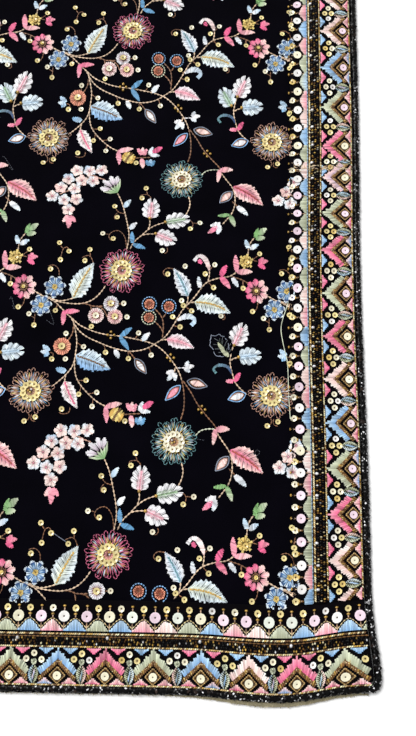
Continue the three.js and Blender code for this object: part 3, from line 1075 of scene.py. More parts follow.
STEMS = dyed_paths("""
    STEM -208.0 62.2 -200.8 58.5 -194.6 56.0 -190.5 52.6 -186.9 49.2
    STEM -197.7 58.1 -191.5 55.8 -186.9 56.2 -181.9 57.7
    STEM -193.5 55.6 -183.1 54.2 -175.4 54.6 -169.2 57.3 -164.6 61.9 -162.4 65.4
    BROWN -176.9 54.6 -173.1 54.1 -170.0 52.9 -163.4 52.9
    BROWN -166.9 53.0 -163.1 51.3 -161.2 48.5 -160.0 46.0
    BROWN -170.8 52.6 -169.8 49.4
    STEM -186.0 219.5 -181.5 215.8 -176.9 211.9 -170.0 208.8 -163.8 206.9 -156.9 205.8 -151.5 205.4
    -144.6 204.2 -136.9 202.7 -130.0 200.4 -125.4 197.3 -121.5 193.5 -118.5 189.6 -115.8 185.8 -113.8 181.9
    -112.7 178.4
    STEM -182.5 216.5 -180.4 212.7 -176.9 208.1 -171.5 204.2 -164.6 201.2 -157.7 198.5 -150.0 196.5
    -144.6 195.9 -137.7 196.9 -132.3 199.2 -128.5 201.9 -124.6 204.6 -120.8 209.6 -116.5 217.3 -113.7 222.6
    STEM -113.7 51.2 -110.3 55.0 -106.1 59.6 -101.5 65.8 -97.7 69.2 -90.8 71.5 -83.8 72.7 -79.8 75.2
    STEM -181.5 215.8 -180.4 211.9 -179.2 207.3 -178.1 201.2 -178.5 194.2 -178.8 190.4 -180.4 185.0
    -183.8 180.4 -187.7 176.5 -191.8 172.9
    BROWN -180.8 211.2 -181.2 206.5 -183.5 202.3
    STEM -178.9 190.4 -178.5 184.2 -176.9 178.1 -173.1 172.7 -168.5 168.1 -163.8 164.2 -158.5 161.5
    STEM -183.8 180.4 -184.2 176.5
    BROWN -132.2 224.6 -128.5 221.2 -125.8 217.3 -125.0 211.5 -125.4 205.0
    BROWN -122.6 222.6 -125.3 217.8
    BROWN -131.4 216.0 -127.0 211.9 -125.2 208.6
    BROWN -112.5 178.3 -111.2 171.2 -110.8 165.0 -111.2 159.6 -112.7 154.3
    BROWN -111.8 178.0 -106.9 171.2 -103.4 165.0 -100.0 160.4 -96.2 155.8 -92.3 151.5 -90.8 148.5
    WILLOW -103.6 144.6 -100.8 147.7 -96.2 149.0 -91.8 148.9
    STEM -90.8 146.9 -86.9 141.2 -83.1 135.8 -81.5 130.4 -81.2 124.2 -82.3 118.8 -83.7 115.6
    STEM -85.0 113.7 -89.0 108.4
    BROWN -83.0 125.4 -79.6 122.0
    STEM -157.7 130.2 -154.6 123.5 -152.7 117.3 -150.8 109.6 -149.2 101.9 -148.9 95.8 -150.0 88.6
    STEM -147.8 89.0 -145.4 94.2 -140.8 98.8 -136.9 103.1 -132.3 106.5 -126.6 108.7
    STEM -140.8 98.9 -137.0 99.9 -132.8 100.0
    STEM -136.9 103.1 -135.8 107.0 -136.0 110.6
    STEM -111.5 128.4 -110.4 123.5 -111.2 118.8 -113.0 114.8
    STEM -81.3 200.2 -82.7 194.2 -83.1 190.4 -82.3 185.8 -81.2 181.9 -80.0 178.1 -76.9 174.2 -72.6 170.4
    STEM -82.7 191.4 -80.8 192.7 -78.5 193.3
    STEM -72.3 86.6 -71.9 91.2 -70.8 95.0 -68.5 98.4
    STEM -97.7 69.2 -97.0 72.5 -96.9 75.8
    BROWN -82.3 72.5 -76.2 70.8 -71.6 68.4
    BROWN -75.4 70.2 -75.2 67.2
    STEM -110.2 60.4 -110.3 56.9 -111.9 53.0
    STEM -108.6 56.2 -105.6 56.8
    BROWN -147.0 156.6 -142.0 157.2 -137.2 157.4
    WHITE -115.8 186.0 -112.5 186.2 -110.5 186.3
    STEM -116.9 186.2 -117.4 183.2
    BROWN -145.5 195.8 -141.6 191.0
    STEM -126.2 203.4 -122.5 203.9
    TAN -166.0 139.6 -170.3 141.2 -175.0 142.8 -181.0 136.0 -189.5 131.0 -195.0 128.3
""")
STALKS = paths("""
    -135.6 126.4 -137.7 129.2 -142.3 128.8 -142.8 126.9 / -138.0 129.2 -138.8 131.9 / -152.2 114.7
    -156.2 115.8 -158.2 118.4 / -157.0 115.2 -158.9 112.6 -158.2 110.2 / -150.0 89.6 -151.5 97.3
    -155.4 101.9 -160.0 100.8 -161.9 97.3 -160.0 94.6 / -161.9 99.0 -164.0 99.4 / -191.5 82.5 -190.4 88.0
    -188.2 89.6 -186.6 88.0 / -190.6 88.5 -192.2 90.6 / -191.8 71.0 -192.3 75.0 -195.5 77.6 -198.8 76.8 /
    -170.6 79.0 -172.3 83.0 -174.6 84.2 -178.0 82.6 / -172.8 83.6 -173.1 86.2 / -119.5 76.6 -124.0 77.0
    -126.4 74.5 -125.2 72.3 / -111.0 111.0 -108.2 109.0 -108.6 105.6 / -108.2 108.8 -105.2 108.5 /
    -124.4 90.4 -123.8 87.8 -126.0 86.3 / -97.0 76.4 -95.0 78.4 / -97.4 68.8 -95.2 66.6 / -111.2 53.4
    -108.8 51.8 / -153.6 54.5 -151.6 54.7 / -205.2 218.5 -205.3 213.0 / -208.0 217.4 -205.3 216.0 /
    -171.0 208.9 -169.9 210.2 / -142.3 204.0 -140.8 206.2 / -161.2 199.6 -160.3 196.2 / -146.2 195.8
    -145.9 192.6 / -133.4 198.6 -132.2 195.2 / -178.0 200.8 -175.0 198.8 / -194.4 194.4 -191.9 193.4
    -192.3 191.6 / -176.6 177.0 -172.6 177.1 / -173.9 173.6 -174.7 170.0 / -169.4 168.9 -165.6 169.6 /
    -166.3 166.0 -166.4 163.0 / -180.0 160.3 -180.3 157.3 -184.0 156.3 -186.4 157.2 / -204.8 156.4
    -204.0 153.4 -206.2 151.9 / -202.8 155.8 -203.2 152.4 -200.4 151.5 / -118.6 212.8 -116.2 212.2 /
    -87.4 221.0 -86.2 218.3 -88.2 217.2 / -69.0 83.6 -66.0 86.0 / -69.0 83.0 -66.2 82.4 / -212.4 57.4
    -212.8 53.8 -214.6 51.5 / -117.0 216.2 -118.4 217.6 / -185.2 202.6 -185.2 205.0 / -191.6 224.8
    -192.3 222.6
""")
GOLD_SPANGLES = spots("""
    -139.1 133.6 -141.5 126.3 -158.8 119.8 -156.9 111.7 -158.8 95.8 -192.7 92.1 -186.4 86.4 -191.5 80.8
    -197.3 74.8 -173.2 87.8 -176.0 80.5 -123.3 73.1 -109.8 104.2 -99.6 73.7 -94.1 65.5 -75.2 65.4 -64.8 87.2
    -112.9 54.2 -107.7 50.9 -215.8 51.3 -192.5 220.9 -169.6 211.1 -192.8 190.0 -171.0 177.1 -175.0 168.5
    -184.8 159.2 -200.4 154.1 -206.9 151.5 -119.4 218.3 -114.6 211.9 -146.3 152.7 -145.8 191.2 -205.2 211.3
    -160.0 194.8
""")
PALE_SPANGLES = spots("""
    -165.6 99.4 -103.7 108.7 -127.3 88.1 -93.6 79.5 -150.2 54.8 -208.8 218.4 -147.8 217.6 -140.2 207.5
    -131.9 193.7 -173.7 198.1 -185.0 206.3 -184.4 190.2 -164.1 169.8 -166.5 161.2 -112.5 78.2 -89.1 219.4
    -114.1 57.2
""")
BEAD_CLUSTERS: tuple[Spot, ...] = ((-157.2, 205.9), (-119.9, 192.2), (-100.0, 160.6))
# What is left of the leaf that has worn away near the right side.
WORN_CORE: tuple[tuple[tuple[Spot, ...], float], ...] = (
    (spots("-83.9 193.4 -86.2 196.0 -89.2 198.2"), 2.5),
    (spots("-86.9 197.2 -89.0 199.8 -91.0 202.8"), 2.3),
)
WORN_RIM = paths("""
    -94.8 207.4 -95.5 204.3 -95.9 201.4 -94.6 198.9 -93.2 196.4 -91.8 194.3 -89.2 194.1 /
    -94.4 206.8 -92.4 206.4 -90.2 207.9 -88.6 206.6 -86.8 206.2 /
    -86.2 205.2 -85.0 203.4 -84.3 200.8 -84.0 197.9 / -90.4 193.6 -87.2 193.8
""")
# Drawn threads, with their dyes.
DRAWN = dyed_paths("""
    SLATE -184.6 86.2 -181.6 84.2 -177.6 81.8
    WILLOW -46.4 229.0 -51.0 214.0 -50.0 203.0 -47.4 190.0 -47.0 171.0 -46.2 156.0
""")
# Sprays that the side bands would cut through stay whole: middle and reach.
SPRIGS = (*((x, y, 4.7) for x, y in BLOSSOMS), (-187.8, 108.6, 5.6))


@dataclass(frozen=True)
class FieldNeedlework:
    """The field's repeating needlework: flowers, leaves, stems and spangles, tiled over the velvet."""

    repeat_x: float = 146.65
    repeat_y: float = 171.4
    bloom_radius: float = 13.5
    bloom_loops: int = 30
    bloom_sequins: int = 11
    blue_petals: int = 7
    blue_reach: float = 7.6
    half_petals: int = 9
    berry_dashes: int = 17
    berry_ring: float = 4.4
    spangle_radius: float = 1.66
    side_margin: float = 43.9
    end_margin: float = 49.3
    end_edge: float = 49.8
    sprig_margin: float = 43.0
    lint: int = 90
    lint_margin: float = 60.0
    worn: tuple[tuple[float, float, float], ...] = ((-89.2, 200.2, 7.9), (-420.0, 1243.0, 6.0))

    def chart(self) -> Work:
        """Sews one repeat, measured from the shawl's front right corner."""
        needle = Needle(np.random.default_rng(SEED + 1))
        for dye, points in STEMS:
            needle.stem(points, dye)
        for points in STALKS:
            needle.stem(points, Dye.BROWN, 0.56, 2.0)
        for leaf in VEINED_LEAVES:
            needle.leaf(leaf.base, leaf.end, leaf.width, leaf.edge, leaf.inner, leaf.vein, leaf.bend,
                        leaf.other)
        for leaf in LOBED_LEAVES:
            needle.lobed_leaf(leaf.base, leaf.end, leaf.width, leaf.edge, leaf.inner)
        for blade in BLADES:
            needle.blade([blade.base, blade.end], blade.width, blade.root, blade.tip)
        for points, width, root, tip in CURLS:
            needle.blade(points, width, root, tip, 0.8, 0.8)
        for leaf in EYE_LEAVES:
            self.eye_leaf(needle, leaf)
        for flower in RING_FLOWERS:
            self.ring_flower(needle, flower)
        for x, y, dye in BERRIES:
            self.berry(needle, x, y, dye)
        for spot in BLOSSOMS:
            self.blossom(needle, spot)
        for spot in BLUE_FLOWERS:
            self.blue_flower(needle, spot)
        self.half_flower(needle, HALF_FLOWER)
        self.fan_flower(needle)
        self.golden_buds(needle)
        for bloom in BLOOMS:
            self.bloom(needle, bloom)
        needle.spangles(GOLD_SPANGLES, self.spangle_radius, Dye.SPANGLE_GOLD)
        needle.spangles(PALE_SPANGLES, self.spangle_radius, Dye.SPANGLE_CREAM)
        for x, y in BEAD_CLUSTERS:
            needle.beads([(x - 2, y), (x + 2, y), (x, y - 2), (x, y + 2)], 0.95, Dye.GOLD)
        return needle.work

    def bloom(self, needle: Needle, bloom: Bloom) -> None:
        """Two rows of looped petals round a ring of sequins and a beaded heart."""
        centre = np.array([bloom.x, bloom.y])
        r, rng = self.bloom_radius, needle.rng
        across = np.array([0.25, 1.15, 0.7, -0.7, -1.15, -0.25])
        along = np.array([0.54, 0.86, 0.99, 0.99, 0.86, 0.54])
        for k in range(self.bloom_loops):
            angle = 2 * math.pi * (k + rng.uniform(-0.3, 0.3)) / self.bloom_loops
            way = heading(angle)
            reach = r * (1 + 0.05 * math.sin(angle * 9) + 0.05 * rng.uniform(-1, 1))
            line = centre + way * (along * reach)[:, None] + left_of(way) * across[:, None]
            needle.threads(Shape.SPINDLE, line[:-1], line[1:], 0.29, bloom.rim, bloom.rim, 0.5, 0.5)
        dyes = (bloom.inner, bloom.loop, Dye.SLATE, Dye.YELLOW, bloom.rim, Dye.BROWN, bloom.inner, Dye.WHITE,
                bloom.loop, Dye.GOLD)
        total = 12 * len(dyes)
        angle = (np.arange(total) + rng.uniform(-0.5, 0.5, total)) * 2 * np.pi / total
        way = heading(angle)
        reach = rng.uniform(0.62, 0.96, total)[:, None]
        for k, dye in enumerate(dyes):
            some = slice(k, None, len(dyes))
            needle.threads(Shape.SPINDLE, centre + way[some] * r * (reach[some] - 0.3),
                           centre + way[some] * r * reach[some], 0.32, dye, dye, 0.5, 0.3)
        needle.rosette(centre, 0.9, 3.1, 15, Dye.BROWN, bloom.heart, 0.1)
        needle.rosette(centre, 3.4, 6.3, 24, Dye.GOLD, Dye.YELLOW, 0.08)
        places = centre + heading(round_steps(self.bloom_sequins)) * r * 0.345
        needle.spangles(places, 1.95, bloom.spangle, base=0.9)
        for dye in (Dye.YELLOW, Dye.WHITE, Dye.GOLD):
            needle.beads(centre + rng.uniform(-1.7, 1.7, (1, 2)), 0.75, dye)

    def blue_flower(self, needle: Needle, spot: Spot) -> None:
        """Rounded petals, white at the rim, each with a dark blue eye."""
        centre = np.array(spot)
        for k in range(self.blue_petals):
            way = heading(2 * math.pi * (k + 0.2) / self.blue_petals)
            needle.petal(centre + way * 1.0, centre + way * 7.0, 4.9, Dye.BLUE, Dye.ICE, 6, 0.35, 0.6)
            for share in (-0.6, 0.6):
                start = centre + way * 2.8 + left_of(way) * share
                needle.threads(Shape.WEDGE, start + way * 2.9, start, 0.8, Dye.DEEP_BLUE, Dye.AZURE, 0.5, 0.5)
        needle.rosette(centre, 0.3, 1.7, 9, Dye.GOLD, Dye.YELLOW)

    def half_flower(self, needle: Needle, spot: Spot) -> None:
        """Petals that are hot pink on one side and pale on the other, round a beaded sequin."""
        centre = np.array(spot)
        for k in range(self.half_petals):
            way = heading(2 * math.pi * k / self.half_petals - 1.15)
            outer, length = (Dye.BLUSH, 8.0) if k < 4 else (Dye.HOT_PINK, 7.4)
            needle.petal(centre + way * 2.5, centre + way * length, 4.9, Dye.ROSE, outer, 6, 0.35, 0.6)
        needle.rosette(centre, 0.8, 2.5, 11, Dye.JET, Dye.BROWN)
        needle.spangles([spot], 1.25, Dye.SPANGLE_OLD, base=0.8)
        needle.beads([spot], 0.8, Dye.YELLOW)

    def blossom(self, needle: Needle, spot: Spot) -> None:
        """A small five-petalled blossom."""
        centre = np.array(spot)
        turn = needle.rng.uniform(0, 2 * np.pi)
        tints = (Dye.PEARL, Dye.PEARL, Dye.ICE, Dye.BLUSH)
        if needle.rng.random() < 0.4:
            tints = (Dye.SKY, Dye.ICE, Dye.ICE, Dye.PEARL)
        for k in range(5):
            way = heading(turn + 2 * math.pi * k / 5)
            outer = tints[int(needle.rng.integers(0, 4))]
            needle.petal(centre + way * 0.3, centre + way * 4.3, 4.7, Dye.BLUSH, outer, 5, 0.35, 0.6)
        for way in (np.array([0.8, 0.7]), np.array([0.7, -0.8])):
            needle.threads(Shape.SPINDLE, centre - way, centre + way, 0.26, Dye.ROSE, Dye.ROSE, 0.3, 0.4)

    def ring_flower(self, needle: Needle, flower: RingFlower) -> None:
        """A ring of satin threads round a sequin."""
        centre, radius = (flower.x, flower.y), flower.radius
        needle.rosette(centre, radius * 0.4, radius, 22, flower.inner, flower.outer, 0.025)
        needle.rosette(centre, 0, radius * 0.6, 12, Dye.BROWN, Dye.BROWN, 0.04)
        needle.spangles([centre], radius * 0.42, flower.heart, base=0.75)

    def berry(self, needle: Needle, x: float, y: float, dye: Dye) -> None:
        """An orange berry inside a dashed ring."""
        centre = np.array([x, y])
        needle.rosette(centre, 3.6, 3.1, 15, Dye.ORANGE, Dye.PEACH, 0.04)
        needle.rosette(centre, 0.2, 1.6, 7, Dye.BROWN, Dye.RED_BROWN, 0.1)
        turns = round_steps(self.berry_dashes)
        start, end = (centre + self.berry_ring * heading(turn) for turn in (turns, turns + 0.24))
        needle.threads(Shape.STRIP, start, end, 0.3, dye, dye, 0.4, 0.1)

    def eye_leaf(self, needle: Needle, leaf: EyeLeaf) -> None:
        """A filled leaf inside a stitched outline."""
        root, tip = np.array(leaf.base), np.array(leaf.end)
        axis = tip - root
        normal = unit(left_of(axis))
        middle = [tuple(root + 0.14 * axis), tuple(tip - 0.12 * axis)]
        needle.blade(middle, leaf.width * 0.56, leaf.fill, leaf.fill)
        t = np.linspace(0, 1, 9)
        for side in (-1, 1):
            bow = (side * leaf.width / 2 * np.sin(np.pi * t ** 0.85))[:, None] * normal
            rim = root + t[:, None] * axis + bow
            needle.threads(Shape.STRIP, rim[:-1], rim[1:], 0.3, leaf.outline, leaf.outline, 0.45, 0.15)
            rim = root + (0.12 + 0.78 * t[:, None]) * axis + 0.66 * bow
            needle.threads(Shape.STRIP, rim[:-1], rim[1:], 0.22, leaf.root, leaf.root, 0.45, 0.35)

    def fan_flower(self, needle: Needle) -> None:
        """The side-on flower at the end of the blossom branch: mauve petals in a green calyx."""
        for x, y, tip_x, tip_y, width in FAN_PETALS:
            root, tip = np.array([x, y]), np.array([tip_x, tip_y])
            needle.petal(root, tip, width, Dye.MAUVE, Dye.WHITE, 6, 0.35, 0.6)
        base, tips = np.array(CALYX[0]), np.array(CALYX[1:])
        needle.threads(Shape.SPINDLE, np.tile(base, (6, 1)), tips, 0.95, Dye.GREEN, Dye.WILLOW, 0.6, 0.35)
        between = (tips[1:] + tips[:-1]) / 2 * 0.7 + base * 0.3
        needle.threads(Shape.SPINDLE, np.tile(base, (5, 1)), between, 0.8, Dye.GREEN, Dye.GREEN, 0.6, 0.4)

    def golden_buds(self, needle: Needle) -> None:
        """The yellow rosette and the striped gold bud."""
        rosette = np.array([-73.6, 82.2])
        for k in range(6):
            way = heading(k * math.pi / 3 + 0.3)
            needle.petal(rosette + way * 0.5, rosette + way * 4.9, 4.4, Dye.GOLD, Dye.YELLOW, 3)
        needle.spangles([(-73.0, 81.4)], 1.7, Dye.SPANGLE_OLD, base=0.9)
        needle.beads([(-75.2, 83.6), (-71.9, 84.2), (-73.8, 79.2)], 0.9, Dye.YELLOW)
        middle = np.array([-151.4, 156.6])
        for k, dye in enumerate((Dye.GOLD, Dye.YELLOW, Dye.BRONZE, Dye.YELLOW, Dye.GOLD)):
            shift = np.array([0.86, -0.5]) * (k - 2) * 1.55
            half = np.array([2.4, 4.1]) * (1 - 0.1 * abs(k - 2) ** 1.4)
            needle.blade([tuple(middle + shift - half), tuple(middle + shift + half)], 2.3, dye, dye)

    def all_over(self) -> Work:
        """The repeat tiled over the whole field and cut off where the bands begin."""
        half = np.array([CLOTH.width, CLOTH.length]) / 2
        step = np.array([self.repeat_x, self.repeat_y])
        steps = [np.array([i, j]) * step + half * (1, -1) for i in range(-5, 2) for j in range(12)]

        def off(x: Array, y: Array, spot: Spot) -> tuple[Array, Array]:
            """How far places are from a spot of the nearest repeat."""
            return ((x - half[0] - spot[0] + step[0] / 2) % step[0] - step[0] / 2,
                    (y + half[1] - spot[1] + step[1] / 2) % step[1] - step[1] / 2)

        def inside(x: Array, y: Array) -> Array:
            """Whether places are on the open field. Blossoms and the front blue flowers stay whole."""
            whole = np.zeros(np.shape(x), dtype=bool)
            for spot in BLUE_FLOWERS:
                whole |= np.hypot(off(x, y, spot)[0], y + half[1] - spot[1]) < self.blue_reach
            front = np.where(whole, self.end_margin, self.end_edge)
            ends = (y > front - half[1]) & (y < half[1] - self.end_edge)
            middle, limit = x, np.full(np.shape(x), half[0] - self.side_margin)
            for sprig_x, sprig_y, reach in SPRIGS:
                across, along = off(x, y, (sprig_x, sprig_y))
                near = np.hypot(across, along) < reach
                middle = np.where(near, x - across, middle)
                limit = np.where(near, half[0] - self.sprig_margin, limit)
            return ends & (np.abs(middle) < limit)

        work = self.chart().repeated(np.array(steps)).kept(inside)
        return self.weathered(work).joined(self.loose_ends(), self.worn_rest())

    def weathered(self, work: Work) -> Work:
        """Leaves only dark wisps of the few leaves whose silk has worn away."""

        def wear(rows: Array) -> Array:
            """Thins and dims the rows near each worn place: their widths, then their colours."""
            rows = rows.copy()
            for x, y, reach in self.worn:
                near = np.hypot(rows[:, 0] - x - CLOTH.width / 2, rows[:, 1] - y + CLOTH.length / 2) < reach
                rows[near, 6:9] *= 0.4
                rows[near, 12:] *= 0.22
                rows = rows[~near | (np.arange(len(rows)) % 5 == 0)]
            return rows

        return work.changed(wear)

    def worn_rest(self) -> Work:
        """What is left of the worn leaf near the right side: its core and frayed lengths of its outline."""
        needle = Needle(np.random.default_rng(SEED + 6))
        for points, width in WORN_CORE:
            needle.blade(points, width, Dye.SAGE, Dye.SAGE, 0.8)
        for points in WORN_RIM:
            drawn = smooth_path(points, 1.1)
            drawn = drawn + needle.rng.normal(0, 0.16, drawn.shape)
            left = needle.rng.random(len(drawn) - 1) > 0.2
            start, end = drawn[:-1][left], drawn[1:][left]
            needle.threads(Shape.STRIP, start, end, 0.19, Dye.SLATE, Dye.SLATE, 0.4, 0.3)
        return needle.work.placed(0, CLOTH.width / 2, -CLOTH.length / 2)

    def loose_ends(self) -> Work:
        """Drawn threads and a scatter of lint on the velvet."""
        needle = Needle(np.random.default_rng(SEED + 5))
        corner = np.array([CLOTH.width / 2, -CLOTH.length / 2])
        for dye, points in DRAWN:
            drawn = smooth_path(points, 1.6) + corner
            needle.threads(Shape.STRIP, drawn[:-1], drawn[1:], 0.2, dye, dye, 0.4, 0.5)
        half = np.array([CLOTH.width, CLOTH.length]) / 2 - self.lint_margin
        for _ in range(self.lint):
            at = needle.rng.uniform(-half, half)
            bends = np.cumsum(needle.rng.normal(0, 3.4, (4, 2)), axis=0)
            line = smooth_path([tuple(at + bend) for bend in bends], 1.6)
            needle.threads(Shape.SPINDLE, line[:-1], line[1:], 0.13, Dye.SOOT, Dye.SLATE, 0.25, 0.3)
        return needle.work


@dataclass(frozen=True)
class BandPlan:
    """Where a trim band's rows lie, in millimetres in from the shawl's outer edge."""

    inner: float
    outer_cord: float
    middle_cord: float
    inner_cord: float
    fine_line: float
    fine_dye: Dye
    beads: tuple[float, float]
    apex: float
    inner_apex: float
    foot: Spot
    inner_foot: Spot
    gold: tuple[float, float]
    gold_foot: Spot
    gold_inner_foot: Spot
    diamond: float
    leaf: tuple[float, float]
    spangles: tuple[Spot, ...]
    low_tip: float
    high_tip: float
    scallop: tuple[float, float]
    valley: float
    drop: float
    drop_bead: float
    hearts: tuple[Dye, ...]
    faces: tuple[Dye, ...]
    bell: float
    cupped: bool
    pale_step: int
    disc: float
    drops: tuple[Dye, ...]


SEQUIN_LETTERS = {
    "W": Dye.SPANGLE_WHITE, "C": Dye.SPANGLE_CREAM, "P": Dye.SPANGLE_PINK, "S": Dye.SPANGLE_GREEN,
    "G": Dye.SPANGLE_GOLD, "O": Dye.SPANGLE_OLD,
}


def sequin_row(letters: str) -> tuple[Dye, ...]:
    """The colours of a row of sequins, a letter for each."""
    return tuple(SEQUIN_LETTERS[letter] for letter in letters)


SIDE_PLAN = BandPlan(
    inner=45.5, outer_cord=5.5, middle_cord=25.6, inner_cord=32.9, fine_line=34.3, fine_dye=Dye.SKY,
    beads=(26.6, 31.9), apex=24.6, inner_apex=19.6, foot=(10.6, 13.6), inner_foot=(8.8, 11.0),
    gold=(20.7, 16.9), gold_foot=(10.6, 10.3), gold_inner_foot=(9.3, 8.0), diamond=9.9, leaf=(6.2, 15.2),
    spangles=((0, 17.3), (0, 21.8), (-4.1, 19.4), (4.1, 19.4)), low_tip=9.9, high_tip=21.4,
    scallop=(34.7, 39.3), valley=40.7, drop=44.2, drop_bead=42.2,
    hearts=sequin_row("CPPPC"),
    faces=sequin_row("WWPPPWCPWPPPCWPPWPPPWWCWWCWC"), bell=0.4, cupped=False, pale_step=1, disc=2.72,
    drops=sequin_row("OGCCCGCCCCCCGWGGWCWCCCOGCOG"),
)
END_PLAN = BandPlan(
    inner=49.5, outer_cord=4.6, middle_cord=24.7, inner_cord=31.7, fine_line=30.2, fine_dye=Dye.BRONZE,
    beads=(25.6, 29.6), apex=23.6, inner_apex=18.6, foot=(10.8, 13.2), inner_foot=(8.8, 10.4),
    gold=(19.6, 15.9), gold_foot=(10.8, 9.4), gold_inner_foot=(9.4, 6.9), diamond=9.5, leaf=(5.0, 14.4),
    spangles=((0, 21.2), (-4.3, 18.2), (4.3, 17.9)), low_tip=8.8, high_tip=20.6, scallop=(33.3, 39.0),
    valley=41.0, drop=45.4, drop_bead=42.2, hearts=sequin_row("C"), faces=sequin_row("PWPSSPPCSPSCPWPC"),
    bell=0.16, cupped=True, pale_step=4, disc=3.1, drops=sequin_row("GWGGGCWGGGCGGCG"),
)
SIDE_ORDER = (Dye.BLUSH, Dye.HOT_PINK, Dye.SAGE, Dye.BLUE, Dye.BLUSH, Dye.HOT_PINK, Dye.SAGE, Dye.HOT_PINK,
              Dye.SAGE, Dye.MAUVE, Dye.HOT_PINK, Dye.SAGE, Dye.BLUE, Dye.BLUSH)
END_ORDER = (Dye.SAGE, Dye.HOT_PINK, Dye.BLUSH, Dye.BLUE, Dye.SAGE, Dye.HOT_PINK, Dye.BLUE)
SIDE_SCALLOPS = (Dye.ROSE, Dye.SAGE, Dye.SAGE, Dye.SAGE, Dye.ROSE, Dye.BLUSH, Dye.WILLOW, Dye.BLUE, Dye.ROSE,
                 Dye.BLUSH, Dye.SAGE, Dye.BLUE, Dye.ROSE, Dye.BLUSH, Dye.SAGE, Dye.BLUE, Dye.BLUSH, Dye.SAGE,
                 Dye.SAGE, Dye.BLUE, Dye.BLUSH, Dye.SAGE, Dye.BLUE, Dye.BLUSH, Dye.ROSE, Dye.SKY, Dye.SAGE,
                 Dye.ROSE, Dye.BLUE)
END_SCALLOPS = (Dye.BLUE, Dye.ROSE, Dye.BLUE, Dye.SAGE, Dye.BLUSH, Dye.ROSE, Dye.BLUE, Dye.SAGE, Dye.BLUSH,
                Dye.ROSE, Dye.BLUE, Dye.SAGE)
COMPANIONS = {
    Dye.BLUSH: Dye.PEARL, Dye.HOT_PINK: Dye.ROSE, Dye.SAGE: Dye.WILLOW, Dye.BLUE: Dye.SKY,
    Dye.MAUVE: Dye.BLUSH, Dye.ROSE: Dye.BLUSH,
}
SMALL_SPANGLES = sequin_row("GCGWCGCO")


